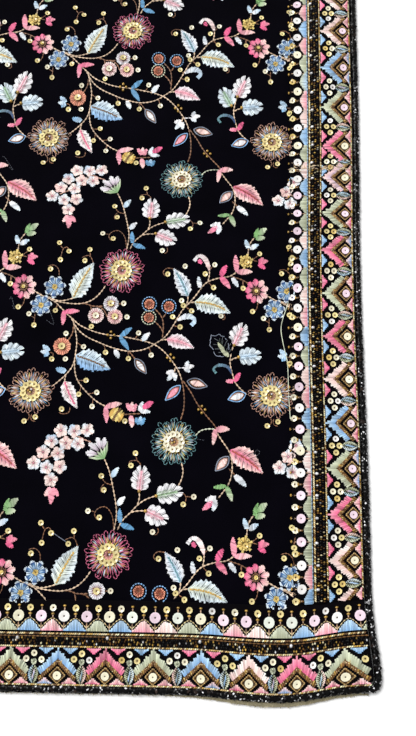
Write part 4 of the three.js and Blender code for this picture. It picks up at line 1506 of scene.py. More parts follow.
@dataclass(frozen=True)
class TrimBand:
    """The needlework of one trim band, sewn along s with u the distance in from the outer edge."""

    plan: BandPlan
    start: float
    stop: float
    order: tuple[Dye, ...]
    scallop_order: tuple[Dye, ...]
    first_apex: float
    first_valley: float
    pitch: float
    scallop_pitch: float
    lace_join: float | None = None
    join_shift: float = 3.4
    wander: tuple[Spot, ...] = ((0, 0),)

    def places(self, first: float, pitch: float) -> list[tuple[int, float]]:
        """Numbers and places of something repeated at a pitch, a little past both ends of the band."""
        ends = sorted(((self.start - first) / pitch, (self.stop - first) / pitch))
        return [(k, first + pitch * k) for k in range(math.floor(ends[0]), math.ceil(ends[1]) + 1)]

    def valleys(self) -> list[tuple[int, float]]:
        """Number and place of each large sequin, with the wander of a hand-set row."""
        marks = np.array(self.wander)
        return [(k, s + float(np.interp(s, marks[:, 0], marks[:, 1])))
                for k, s in self.places(self.first_valley, self.scallop_pitch)]

    def apexes(self) -> list[tuple[int, float]]:
        """Number and place of each chevron's point, with the shift where the lace was joined."""
        joined = self.lace_join or math.inf
        return [(k, s - self.join_shift * (s > joined)) for k, s in self.places(self.first_apex, self.pitch)]

    def sewn(self, seed: int) -> Work:
        """Sews the whole band.

        Args:
            seed: Seed for its unevenness.

        Returns:
            The work, on s and u.
        """
        needle, plan = Needle(np.random.default_rng(seed)), self.plan
        places = self.apexes()
        for k, s in places:
            self.chevron(needle, s, self.order[k % len(self.order)], plan.hearts[k % len(plan.hearts)])
        for (k, s), (_, after) in zip(places, places[1:]):
            self.gap(needle, (s + after) / 2, k)
        self.scallops(needle)
        self.cords(needle)

        def inside(s: Array, u: Array) -> Array:
            """Whether places are within the band's ends."""
            return (s > self.start + 0.6) & (s < self.stop - 0.6)

        return needle.work.kept(inside)

    def chevron(self, needle: Needle, s: float, dye: Dye, heart: Dye) -> None:
        """One chevron: two padded satin arms, gold inner arms and a diamond with a sequin."""
        plan, count = self.plan, 12
        light = COMPANIONS[dye]
        t = np.linspace(0, 1, count)[:, None]

        def arm(top: float, foot: Spot, side: int) -> Array:
            """Points down one side of the chevron."""
            return np.array([s, top]) + t * np.array([side * foot[0], foot[1] - top])

        for side in (-1, 1):
            outer, inner = arm(plan.apex, plan.foot, side), arm(plan.inner_apex, plan.inner_foot, side)
            uneven = 1 + needle.rng.uniform(-0.16, 0.2, (count, 1))
            outer = inner + (outer - inner) * uneven
            needle.satin(outer, inner, 1.12, light, dye, 0.5, 0.3)
            between, root = (outer[1:] + outer[:-1]) / 2, (inner[1:] + inner[:-1]) / 2
            reach = needle.rng.uniform(0.35, 0.92, (count - 1, 1))
            needle.satin(root + reach * (between - root), root, 0.8, dye, dye, 0.42, 0.2)
            gold = arm(plan.gold[0], plan.gold_foot, side)
            last = arm(plan.gold[1], plan.gold_inner_foot, side)
            gold = gold + (gold - last) * needle.rng.uniform(-0.34, 0.1, (count, 1))
            for first, metal in enumerate((Dye.BRONZE, Dye.BROWN, Dye.GOLD, Dye.BRONZE)):
                needle.satin(gold[first::4], last[first::4], 1.0, metal, Dye.BRONZE, 0.5, 0.25)
            glint = gold + (last - gold) * needle.rng.uniform(0.1, 0.8, (count, 1))
            ends = glint + needle.rng.uniform(-0.6, 0.6, (count, 2))
            needle.threads(Shape.SPINDLE, glint, ends, 0.3, Dye.CORD, Dye.CORD_LIGHT, 0.5, 0.7)
        centre = np.array([s, plan.diamond])
        corners = np.array([(0, 4.5), (4.4, 0), (0, -4.2), (-4.4, 0)]) + centre
        for a, b in zip(corners, np.roll(corners, -1, axis=0)):
            at = a + np.linspace(0, 1, 6)[:, None] * (b - a)
            ends = at[1:] + 0.3 * (at[1:] - at[:-1])
            needle.threads(Shape.SPINDLE, at[:-1], ends, 0.42, Dye.CORD, Dye.BRONZE, 0.6, 0.15)
            at = centre + 0.92 * (at - centre)
            foot = centre + 0.62 * (at - centre)
            needle.threads(Shape.WEDGE, at, foot, 0.42, Dye.BRONZE, Dye.BRONZE, 0.35, 0.1)
        needle.spangles([(s, plan.diamond)], 2.35, heart, Shape.DISC, 0.65)

    def gap(self, needle: Needle, s: float, number: int) -> None:
        """What fills the room between two chevrons: a leaf, sequins and the triangles on the cords."""
        plan = self.plan
        low, high = plan.leaf
        t = np.linspace(0.06, 0.94, 9)
        half = 2.75 * np.sin(np.pi * t) ** 0.62
        at = low + (high - low) * t
        edges = (Dye.WILLOW, Dye.BLUSH, Dye.SKY, Dye.SAGE, Dye.ICE)
        for k, side in enumerate((-1, 1)):
            foot = np.column_stack([np.full(9, s) + side * 0.1, at - 0.6])
            rim = np.column_stack([s + side * half, at + 0.6])
            needle.threads(Shape.WEDGE, rim, foot, 0.5, edges[(2 * number + k) % 5], Dye.SAGE, 0.7, 0.15)
        core = np.array([[s - 0.3, low + 1.6], [s + 0.3, (low + high) / 2 - 0.6]])
        needle.threads(Shape.SPINDLE, core, core + (0.2, 4.0), 0.5, Dye.BLUE, edges[number % 5], 0.55, 0.4)
        for k, (ds, u) in enumerate(plan.spangles):
            face = SMALL_SPANGLES[(number + 3 * k) % len(SMALL_SPANGLES)]
            needle.spangles([(s + ds, u)], 1.8, face, Shape.SPANGLE, 0.5)
        if plan is END_PLAN:
            needle.rosette((s, 16.6), 0.4, 1.6, 7, Dye.SAGE, Dye.WILLOW)
        for k, side in enumerate((-1, 1)):
            foot = s + side * 6.6
            dye = (Dye.HOT_PINK, Dye.BLUE)[(number + k) % 2]
            pale = (Dye.ROSE, Dye.SKY)[(number + k) % 2]
            base = foot + np.linspace(-3.9, 3.9, 8)
            lift = 1 - np.abs(np.linspace(-1, 1, 8)) * 0.86
            along = foot + 0.72 * (base - foot)
            root = np.column_stack([base, np.full(8, plan.middle_cord - 0.7)])
            tip = np.column_stack([along, root[:, 1] - lift * (root[0, 1] - plan.high_tip)])
            needle.threads(Shape.STRIP, root, tip, 0.46, pale, dye, 0.6, 0.15)
            low_dye = Dye.BLUE if (number + k) % 5 == 2 else Dye.ROSE
            root = np.column_stack([base, np.full(8, plan.outer_cord + 0.7)])
            tip = np.column_stack([along, root[:, 1] + lift * (plan.low_tip - root[0, 1])])
            root_dye = Dye.HOT_PINK if k and low_dye is Dye.ROSE else low_dye
            needle.threads(Shape.STRIP, root, tip, 0.46, root_dye, Dye.BLUSH, 0.6, 0.15)

    def scallops(self, needle: Needle) -> None:
        """The inner fringe of the band: satin mounds, sequins in two sizes and the threads that link them."""
        plan = self.plan
        base, peak = plan.scallop
        for k, valley in self.valleys():
            crest = valley + self.scallop_pitch / 2
            dye = self.scallop_order[k % len(self.scallop_order)]
            count = 14
            spread = np.linspace(-1, 1, count)
            ragged = needle.rng.uniform(-0.35, 0.35, count)
            foot = np.column_stack([crest + spread * self.scallop_pitch * 0.47, np.full(count, base)])
            bell = plan.bell + (1 - plan.bell) * np.cos(np.pi * spread / 2) ** 1.25
            height = base + (peak - base) * bell + ragged
            rim = np.column_stack([crest + spread * self.scallop_pitch * 0.44, height])
            pale = COMPANIONS.get(dye, Dye.WILLOW)
            needle.threads(Shape.STRIP, rim, foot, 0.4, pale, dye, 0.8, 0.15)
            face, drop = plan.faces[k % len(plan.faces)], plan.drops[k % len(plan.drops)]
            needle.spangles([(valley, plan.valley)], plan.disc, face, Shape.DISC, 0.7)
            needle.spangles([(crest, plan.drop)], 1.9, drop, Shape.SPANGLE, 0.5)
            needle.beads([(crest, plan.drop_bead)], 0.72, Dye.GOLD, 1.7)
            needle.beads([(crest, peak + 0.9)], 0.66, Dye.BRONZE)
            needle.beads([(valley, plan.valley + 5.6)], 0.66, Dye.GOLD, 1.6)
            if plan.cupped:
                spread = np.linspace(-1, 1, 9)
                bell = 0.1 + 0.9 * np.cos(np.pi * spread / 2) ** 1.25
                height = base + 0.9 + (peak - base) * bell
                line = np.column_stack([crest + spread * self.scallop_pitch * 0.5, height])
                needle.threads(Shape.SPINDLE, line[:-1], line[1:], 0.26, Dye.CORD, Dye.CORD_LIGHT, 0.4, 0.55)
            stem = np.array([[crest, peak], [valley, plan.valley + 2.6], [valley, base]])
            ends = np.array([[crest, plan.drop - 1.4], [valley, plan.valley + 5.4],
                             [valley, plan.valley - 2.6]])
            needle.threads(Shape.SPINDLE, stem, ends, 0.42, Dye.STEM, Dye.BROWN, 0.45, 0.1)

    def cords(self, needle: Needle) -> None:
        """The three couched cords and the fine line beside the inner one."""
        plan = self.plan
        gold = (Dye.CORD, Dye.CORD_LIGHT, Dye.CORD_LIGHT, Dye.GOLD, Dye.BRONZE)
        for u, width in ((plan.outer_cord, 1.3), (plan.middle_cord, 1.25), (plan.inner_cord, 1.4)):
            needle.twisted_cord((self.start, u), (self.stop, u), width, gold, 1.15)
        if self.lace_join:
            spread = needle.rng.normal(0, 1, (80, 4)) * (0.8, 0, 0.8, 1.7)
            across = needle.rng.uniform(4.5, plan.inner, 80)
            start = np.column_stack([self.lace_join + spread[:, 0], across])
            needle.threads(Shape.SPINDLE, start, start + spread[:, 2:], 0.32, Dye.CORD_LIGHT, Dye.TAN,
                           0.5, 1.0)
        s = np.arange(self.start, self.stop, 2.3)
        line = np.column_stack([s, np.full(len(s), plan.fine_line)])
        ends = line[1:] + (0.4, 0)
        needle.threads(Shape.SPINDLE, line[:-1], ends, 0.42, plan.fine_dye, plan.fine_dye, 0.4, 0.1)

    def beading(self, seed: int) -> Work:
        """The close rows of black cut beads between the middle and inner cords, with pale beads among them.
        The white ones are painted glints, and each bead is darker at its foot than at its peak: a painted
        shade.

        Args:
            seed: Seed for their unevenness.

        Returns:
            The beads, on s and u.
        """
        needle = Needle(np.random.default_rng(seed))
        low, high = self.plan.beads
        lanes = 3
        width = (high - low) / lanes
        s = np.arange(self.start + 0.8, self.stop - 0.6, 1.5)
        for lane in range(lanes):
            u = np.full(len(s), low + width * (lane + 0.5)) + needle.rng.normal(0, 0.22, len(s))
            shift = (lane % 2) * 0.6 + needle.rng.normal(0, 0.25, len(s))
            at = np.column_stack([s + shift, u, np.full(len(s), 0.1)])
            lean = needle.rng.normal(0, 0.25, (len(s), 3))
            along = np.column_stack([lean[:, 0] * 0.4, np.full(len(s), 0.92), lean[:, 1] * 0.5])
            across = np.column_stack([np.full(len(s), -0.6), lean[:, 0] * 0.4, lean[:, 2] * 0.5])
            pick, shade = needle.rng.random(len(s)), np.tile(Dye.JET.linear(), (len(s), 1))
            # The white studs, about one in thirty, are painted glints among the black, bronze and gold beads.
            for most, dye in ((0.5, Dye.BRONZE), (0.3, Dye.GOLD), (0.12, Dye.CORD_LIGHT), (0.035, Dye.WHITE)):
                shade = np.where(pick[:, None] < most, dye.linear(), shade)
            shade = shade * needle.rng.uniform(0.35, 1.5, (len(s), 1))
            up = np.array([0, 0, 1.1])
            # Each stud's foot takes four tenths of its colour and its peak the whole: a painted shade on its
            # sides.
            needle.work.add(Shape.STUD, at, along * 0.9, across * 0.9, up, shade * 0.4, shade)
        return needle.work

    def pale_beads(self) -> Work:
        """The pale beads sewn beside the bead band, mostly one for each scallop."""
        needle = Needle(np.random.default_rng(SEED))
        places = [s for _, s in self.valleys()][::self.plan.pale_step]
        shift = needle.rng.uniform(-0.8, 0.8, (len(places), 2))
        needle.beads([(s + ds, self.plan.beads[1] - 0.3 + 0.5 * du) for s, (ds, du) in zip(places, shift)
                      if self.start + 3 < s < self.stop - 3], 0.95, Dye.WHITE, 1.3, 90)
        return needle.work


@dataclass(frozen=True)
class ClothPieces:
    """The shawl's plain cloth: the velvet ground and the four band cloths, each one closed sheet."""

    pitch_x: float = 15.0
    pitch_y: float = 18.0
    tuck: float = 1.2
    column_insets: tuple[float, ...] = (
        4.7, 6.7, 9.0, 14.0, 20.0, 23.6, 24.9, 25.5, 27.1, 31.2, 32.9, 34.5, 37.5, 41.0, 45.5, 49.5,
    )

    def ladder(self, half: float, pitch: float, reach: float = 60.0) -> Array:
        """Grid lines from -half to half that follow the bands' relief near both edges."""
        near = [half - inset for inset in self.column_insets]
        middle = np.linspace(-(half - reach), half - reach, round(2 * (half - reach) / pitch) + 1)
        return np.array(sorted([*near, *(-v for v in near), *middle]))

    def sheet(self, name: str, columns: Array, rows: Array, under: Callable[[Array, Array], Array],
              over: Callable[[Array, Array], Array], material: bpy.types.Material) -> bpy.types.Object:
        """A closed sheet: a grid, pushed up to its thickness and set to its heights.

        Args:
            name: The piece's name.
            columns: Its grid lines across the shawl.
            rows: Its grid lines along it.
            under: Height of the underside over the table at flat x and y, the cloth's rise included.
            over: Height of the face.
            material: Its finish.

        Returns:
            The new object.
        """
        nx, ny = len(columns), len(rows)
        bm = bmesh.new()
        bmesh.ops.create_grid(bm, x_segments=nx - 1, y_segments=ny - 1, size=0.5)
        for v in bm.verts:
            v.co = (columns[round((v.co.x + 0.5) * (nx - 1))], rows[round((v.co.y + 0.5) * (ny - 1))], 0)
        grown = bmesh.ops.extrude_face_region(bm, geom=bm.faces[:])["geom"]
        for v in (g for g in grown if isinstance(g, bmesh.types.BMVert)):
            v.co.z = 1.0
        bmesh.ops.recalc_face_normals(bm, faces=bm.faces)
        places = np.array([v.co[:] for v in bm.verts])
        x, y = places[:, 0], places[:, 1]
        half_x, half_y = CLOTH.width / 2 - CLOTH.edge, CLOTH.length / 2 - CLOTH.edge
        corner = (np.abs(x) > half_x - 0.01) & (np.abs(y) > half_y - 0.01)
        z = np.where(places[:, 2] > 0.5, over(x, y), under(x, y))
        flat = np.stack([x - corner * np.sign(x) * self.tuck, y - corner * np.sign(y) * self.tuck, z], axis=1)
        for v, place in zip(bm.verts, CLOTH.settle(flat)):
            v.co = place
        mesh = bpy.data.meshes.new(name)
        bm.to_mesh(mesh)
        bm.free()
        mesh.polygons.foreach_set("use_smooth", np.ones(len(mesh.polygons), dtype=bool))
        mesh.materials.append(material)
        piece = bpy.data.objects.new(name, mesh)
        bpy.context.scene.collection.objects.link(piece)
        return piece

    def field(self, material: bpy.types.Material) -> bpy.types.Object:
        """The velvet ground, out to the edging."""
        columns = self.ladder(CLOTH.width / 2, self.pitch_x)
        rows = self.ladder(CLOTH.length / 2, self.pitch_y)
        return self.sheet("field_velvet", columns, rows, lambda x, y: np.zeros_like(x),
                          lambda x, y: np.full_like(x, CLOTH.velvet), material)

    def side_band(self, name: str, side: int, material: bpy.types.Material) -> bpy.types.Object:
        """The band cloth of one long side."""
        insets = np.array([u for u in self.column_insets if u <= CLOTH.side_band])
        columns = np.sort(side * (CLOTH.width / 2 - insets))
        stop = CLOTH.length / 2 - CLOTH.end_band - CLOTH.seam_gap
        rows = self.ladder(CLOTH.length / 2, self.pitch_y)
        rows = np.array([-stop, *rows[np.abs(rows) < stop - 1], stop])
        return self.sheet(name, columns, rows, lambda x, y: np.full_like(x, CLOTH.velvet + CLOTH.seam_gap),
                          lambda x, y: CLOTH.band_face(CLOTH.width / 2 - np.abs(x), CLOTH.side_band),
                          material)

    def end_band(self, name: str, end: int, material: bpy.types.Material) -> bpy.types.Object:
        """The band cloth of one end."""
        rows = np.sort(end * (CLOTH.length / 2 - np.array(self.column_insets)))
        columns = self.ladder(CLOTH.width / 2, self.pitch_x)
        return self.sheet(name, columns, rows, lambda x, y: np.full_like(x, CLOTH.velvet + CLOTH.seam_gap),
                          lambda x, y: CLOTH.band_face(CLOTH.length / 2 - np.abs(y), CLOTH.end_band),
                          material)


@dataclass(frozen=True)
class Edging:
    """The beaded edge: a core roll with close rows of cut jet beads over it, and small white studs among them
    as painted glints.
    """

    width: float = 4.4
    side_height: float = 3.6
    hem_height: float = 2.8
    hem_base: float = 1.1
    corner: float = 7.0
    bead: float = 1.1
    pitch: float = 2.0
    lanes: tuple[float, ...] = (-28.0, 12.0, 52.0, 92.0, 132.0)

    def side_path(self, side: int) -> tuple[Array, Array]:
        """Middle line of one long side's edging and the way out from it."""
        stop = CLOTH.length / 2 - CLOTH.end_band - CLOTH.seam_gap
        y = np.arange(-stop, stop + 0.1, 2 * stop / round(2 * stop / self.pitch))
        out = np.tile([float(side), 0.0], (len(y), 1))
        return np.column_stack([np.full(len(y), side * (CLOTH.width - self.width) / 2), y]), out

    def hem_path(self, end: int) -> tuple[Array, Array]:
        """Middle line of one hem's edging, up the band's ends and round both corners."""
        r = self.corner - self.width / 2
        cx, cy = CLOTH.width / 2 - self.corner, CLOTH.length / 2 - self.corner
        top = CLOTH.length / 2 - CLOTH.end_band
        turn = np.radians(np.arange(0, 91, 15))
        up = np.column_stack([np.full(29, cx + r), np.linspace(top, cy, 30)[:-1]])
        arc = np.column_stack([cx + r * np.cos(turn), cy + r * np.sin(turn)])
        count = round(cx / self.pitch)
        hem = np.column_stack([np.linspace(cx, 0, count + 1)[1:], np.full(count, cy + r)])
        half = np.concatenate([up, arc, hem])
        out = np.concatenate([np.tile([1.0, 0.0], (29, 1)), np.column_stack([np.cos(turn), np.sin(turn)]),
                              np.tile([0.0, 1.0], (count, 1))])
        flip = np.array([-1.0, 1.0])
        path = np.concatenate([half, half[-2::-1] * flip])
        outs = np.concatenate([out, out[-2::-1] * flip])
        return path * end, outs * end

    def build(self, name: str, path: Array, out: Array, base: float, height: float,
              material: bpy.types.Material) -> bpy.types.Object:
        """Makes the roll and its beads as one piece.

        Args:
            name: The piece's name.
            path: Rows of x, y along its middle.
            out: The way out from the cloth at each row.
            base: Height of its underside over the cloth's own.
            height: Its height.
            material: The beads' finish.

        Returns:
            The new object.
        """
        rng = np.random.default_rng(SEED + len(name))
        work = Work()
        ahead = unit(np.gradient(path, axis=0))
        for lane, degrees in enumerate(self.lanes):
            turn = np.radians(degrees + rng.normal(0, 5, len(path)))
            shift = ahead * ((lane % 2) * self.pitch / 2)
            reach = np.cos(turn)[:, None] * (self.width / 2 * 0.84)
            rise = base + height / 2 + np.sin(turn) * height / 2 * 0.84
            origin = np.column_stack([path + shift + out * reach, rise])
            up = np.column_stack([out * np.cos(turn)[:, None], np.sin(turn)]) * 0.55
            side = np.column_stack([-out * np.sin(turn)[:, None], np.cos(turn)])
            along = np.column_stack([ahead, np.zeros(len(path))]) + rng.normal(0, 0.3, (len(path), 3))
            side = side + rng.normal(0, 0.3, (len(path), 3))
            pick = rng.random((len(path), 1))
            shade = np.where(pick < 0.1, Dye.SOOT.linear(), Dye.JET.linear())
            # About one bead in six becomes a small white stud: a painted glint on the black edging.
            shade = np.where(pick > 0.83, Dye.WHITE.linear(), shade) * rng.uniform(0.1, 1.3, (len(path), 1))
            size = np.where(pick > 0.83, 0.52, 1.0) * self.bead
            work.add(Shape.STUD, origin, along * size, side * size, up, shade, shade)
        core = self.core(path[::4], out[::4], base + height / 2, height / 2)
        return work.mesh(name, material, sewn=False, core=core)

    def core(self, path: Array, out: Array, middle: float, half: float) -> Solid:
        """The roll under the beads: a grid wrapped round the path and closed.

        Args:
            path: Rows of x, y along its middle.
            out: The way out from the cloth at each row.
            middle: Height of its middle over the cloth's underside.
            half: Half its height.

        Returns:
            The roll.
        """
        sides, last, shrink = 8, len(path) - 1, 0.86
        bm = bmesh.new()
        bmesh.ops.create_grid(bm, x_segments=last, y_segments=sides, size=0.5)
        for v in bm.verts:
            j = round((v.co.x + 0.5) * last)
            angle = (round((v.co.y + 0.5) * sides) % sides + 0.5) * 2 * math.pi / sides
            across = out[j] * math.cos(angle) * self.width / 2 * shrink
            v.co = (path[j][0] + across[0], path[j][1] + across[1], middle + math.sin(angle) * half * shrink)
        bmesh.ops.remove_doubles(bm, verts=bm.verts, dist=0.001)
        bmesh.ops.holes_fill(bm, edges=[e for e in bm.edges if e.is_boundary], sides=sides)
        bmesh.ops.recalc_face_normals(bm, faces=bm.faces)
        return Solid(*read_off(bm), Dye.JET.linear() * 0.3)


@dataclass(frozen=True)
class Facing:
    """The tape under a hem's edging, which shows past it by a changing lip, with its loose fibres."""

    wall: float = 0.8
    under: float = 4.1
    lip: float = 0.7
    reach: float = 348.5
    shows: tuple[tuple[int, float, float, float], ...] = (
        (-1, 300, 75, 2.1), (-1, -180, 90, 1.2), (1, -280, 80, 2.1), (1, 120, 110, 1.0),
    )

    def edge(self, end: int, x: Array) -> Array:
        """How far the tape shows past the true hem."""
        more = sum(rise * bump((x - at) / reach) for side, at, reach, rise in self.shows if side == end)
        return self.lip + more

    def build(self, name: str, end: int, material: bpy.types.Material) -> bpy.types.Object:
        """The tape with short fibres along its free edge."""
        rng = np.random.default_rng(SEED + end)
        columns = np.linspace(-self.reach, self.reach, 141)
        bm = bmesh.new()
        bmesh.ops.create_grid(bm, x_segments=140, y_segments=2, size=0.5)
        for v in bm.verts:
            x = columns[round((v.co.x + 0.5) * 140)]
            share = v.co.y + 0.5
            outer = CLOTH.length / 2 + float(self.edge(end, x)) + 0.12 * math.sin(x * 1.9)
            depth = outer - CLOTH.length / 2 + self.under
            v.co = (x, end * (CLOTH.length / 2 - self.under + share * depth), 0)
        grown = bmesh.ops.extrude_face_region(bm, geom=bm.faces[:])["geom"]
        for v in (g for g in grown if isinstance(g, bmesh.types.BMVert)):
            v.co.z = self.wall
        bmesh.ops.recalc_face_normals(bm, faces=bm.faces)
        tape = Solid(*read_off(bm), Dye.LINEN.linear())
        x = np.sort(rng.uniform(-self.reach, self.reach, 1500))
        edge = CLOTH.length / 2 + self.edge(end, x)
        root = end * (edge - rng.uniform(0.3, 1.6, len(x)))
        start = np.column_stack([x, root, np.full(len(x), self.wall + 0.02)])
        along = np.column_stack([rng.normal(0, 0.9, len(x)), end * rng.uniform(0.4, 1.7, len(x)),
                                 rng.uniform(-0.3, 0.25, len(x))])
        across = np.column_stack([-along[:, 1], along[:, 0], 0 * x])
        across = unit(across) * 0.16
        shade = Dye.LINEN.linear() * rng.uniform(0.7, 1.5, (len(x), 1))
        work = Work()
        work.add(Shape.SPINDLE, start, along, across, np.array([0, 0, 0.16]), shade, shade)
        return work.mesh(name, material, sewn=False, core=tape)


@dataclass(frozen=True)
class Finish:
    """A finish: where its colour comes from, how it takes light, and its grain.

    A finish without a ground dye takes each piece's own colours.
    """

    name: str
    ground: Dye | None = None
    roughness: float = 0.6
    metallic: float = 0.0
    coat: float = 0.0
    sheen: float = 0.0
    specular: float = 0.5
    grain: float = 1400.0
    mottle: float = 0.3
    patch: float = 30.0
    relief: float = 0.2

    def material(self, fibre: bpy.types.NodeTree) -> bpy.types.Material:
        """Builds the material.

        Args:
            fibre: The shared grain group.

        Returns:
            The new material.
        """
        made = bpy.data.materials.new(self.name)
        made.use_nodes = True
        nodes, links = made.node_tree.nodes, made.node_tree.links
        shader = nodes["Principled BSDF"]
        shader.inputs["Roughness"].default_value = self.roughness
        shader.inputs["Metallic"].default_value = self.metallic
        shader.inputs["Coat Weight"].default_value = self.coat
        shader.inputs["Coat Roughness"].default_value = 0.12
        shader.inputs["Specular IOR Level"].default_value = self.specular
        shader.inputs["Sheen Weight"].default_value = self.sheen
        shader.inputs["Sheen Roughness"].default_value = 0.45
        grain = nodes.new("ShaderNodeGroup")
        grain.node_tree = fibre
        grain.inputs["Grain"].default_value = self.grain
        grain.inputs["Patch"].default_value = self.patch
        grain.inputs["Mottle"].default_value = self.mottle
        if self.ground is None:
            dye = nodes.new("ShaderNodeAttribute")
            dye.attribute_name = "dye"
            links.new(dye.outputs["Color"], grain.inputs["Color"])
        else:
            grain.inputs["Color"].default_value = (*self.ground.linear(), 1)
        relief = nodes.new("ShaderNodeBump")
        relief.inputs["Distance"].default_value = self.relief * MM
        links.new(grain.outputs["Color"], shader.inputs["Base Color"])
        links.new(grain.outputs["Height"], relief.inputs["Height"])
        links.new(relief.outputs["Normal"], shader.inputs["Normal"])
        return made


class Finishes(Enum):
    """The shawl's finishes."""

    VELVET = Finish("black_velvet", Dye.NIGHT, 0.98, sheen=0.012, specular=0.03, grain=2300, mottle=1.3,
                    patch=34, relief=0.45)
    BAND = Finish("band_cloth", Dye.BAND, 0.95, sheen=0.01, specular=0.04, grain=1900, mottle=1.0, patch=60,
                  relief=0.35)
    THREAD = Finish("silk_thread", None, 0.45, sheen=0.04, specular=0.4, grain=2600, mottle=0.45, patch=170,
                    relief=0.15)
    SEQUIN = Finish("sequin", None, 0.3, coat=0.3, specular=0.45, grain=900, mottle=0.16, patch=240,
                    relief=0.05)
    GOLD_BEAD = Finish("gold_bead", None, 0.3, metallic=0.25, coat=0.4, grain=1200, mottle=0.3, patch=200,
                       relief=0.06)
    JET = Finish("jet_bead", None, 0.26, coat=0.04, specular=0.15, grain=1500, mottle=0.6, patch=300,
                 relief=0.05)
    LINEN = Finish("linen_tape", None, 0.9, sheen=0.05, specular=0.2, grain=1700, mottle=0.8, patch=180,
                   relief=0.4)


def fibre_group() -> bpy.types.NodeTree:
    """The grain that all the finishes share: uneven lightness in patches and fibres, and a fine relief.

    Returns:
        A shader group that turns a colour into an uneven one, and gives a height.
    """
    group = bpy.data.node_groups.new("fibre", "ShaderNodeTree")
    sockets = (("Color", "INPUT", "NodeSocketColor"), ("Grain", "INPUT", "NodeSocketFloat"),
               ("Patch", "INPUT", "NodeSocketFloat"), ("Mottle", "INPUT", "NodeSocketFloat"),
               ("Color", "OUTPUT", "NodeSocketColor"), ("Height", "OUTPUT", "NodeSocketFloat"))
    for name, side, kind in sockets:
        group.interface.new_socket(name=name, in_out=side, socket_type=kind)
    nodes, links = group.nodes, group.links
    taken, given = nodes.new("NodeGroupInput"), nodes.new("NodeGroupOutput")
    place = nodes.new("ShaderNodeTexCoord")
    fine, broad = nodes.new("ShaderNodeTexNoise"), nodes.new("ShaderNodeTexNoise")
    fine.inputs["Detail"].default_value = 3
    broad.inputs["Detail"].default_value = 4
    for noise, scale in ((fine, "Grain"), (broad, "Patch")):
        links.new(place.outputs["Object"], noise.inputs["Vector"])
        links.new(taken.outputs[scale], noise.inputs["Scale"])
    both = nodes.new("ShaderNodeMath")
    both.operation = "ADD"
    links.new(fine.outputs["Fac"], both.inputs[0])
    links.new(broad.outputs["Fac"], both.inputs[1])
    centred = nodes.new("ShaderNodeMath")
    centred.operation = "SUBTRACT"
    centred.inputs[1].default_value = 1.0
    links.new(both.outputs[0], centred.inputs[0])
    share = nodes.new("ShaderNodeMath")
    share.operation = "MULTIPLY_ADD"
    share.inputs[2].default_value = 1.0
    links.new(centred.outputs[0], share.inputs[0])
    links.new(taken.outputs["Mottle"], share.inputs[1])
    tint = nodes.new("ShaderNodeVectorMath")
    tint.operation = "SCALE"
    links.new(taken.outputs["Color"], tint.inputs[0])
    links.new(share.outputs[0], tint.inputs["Scale"])
    links.new(tint.outputs[0], given.inputs["Color"])
    links.new(fine.outputs["Fac"], given.inputs["Height"])
    return group


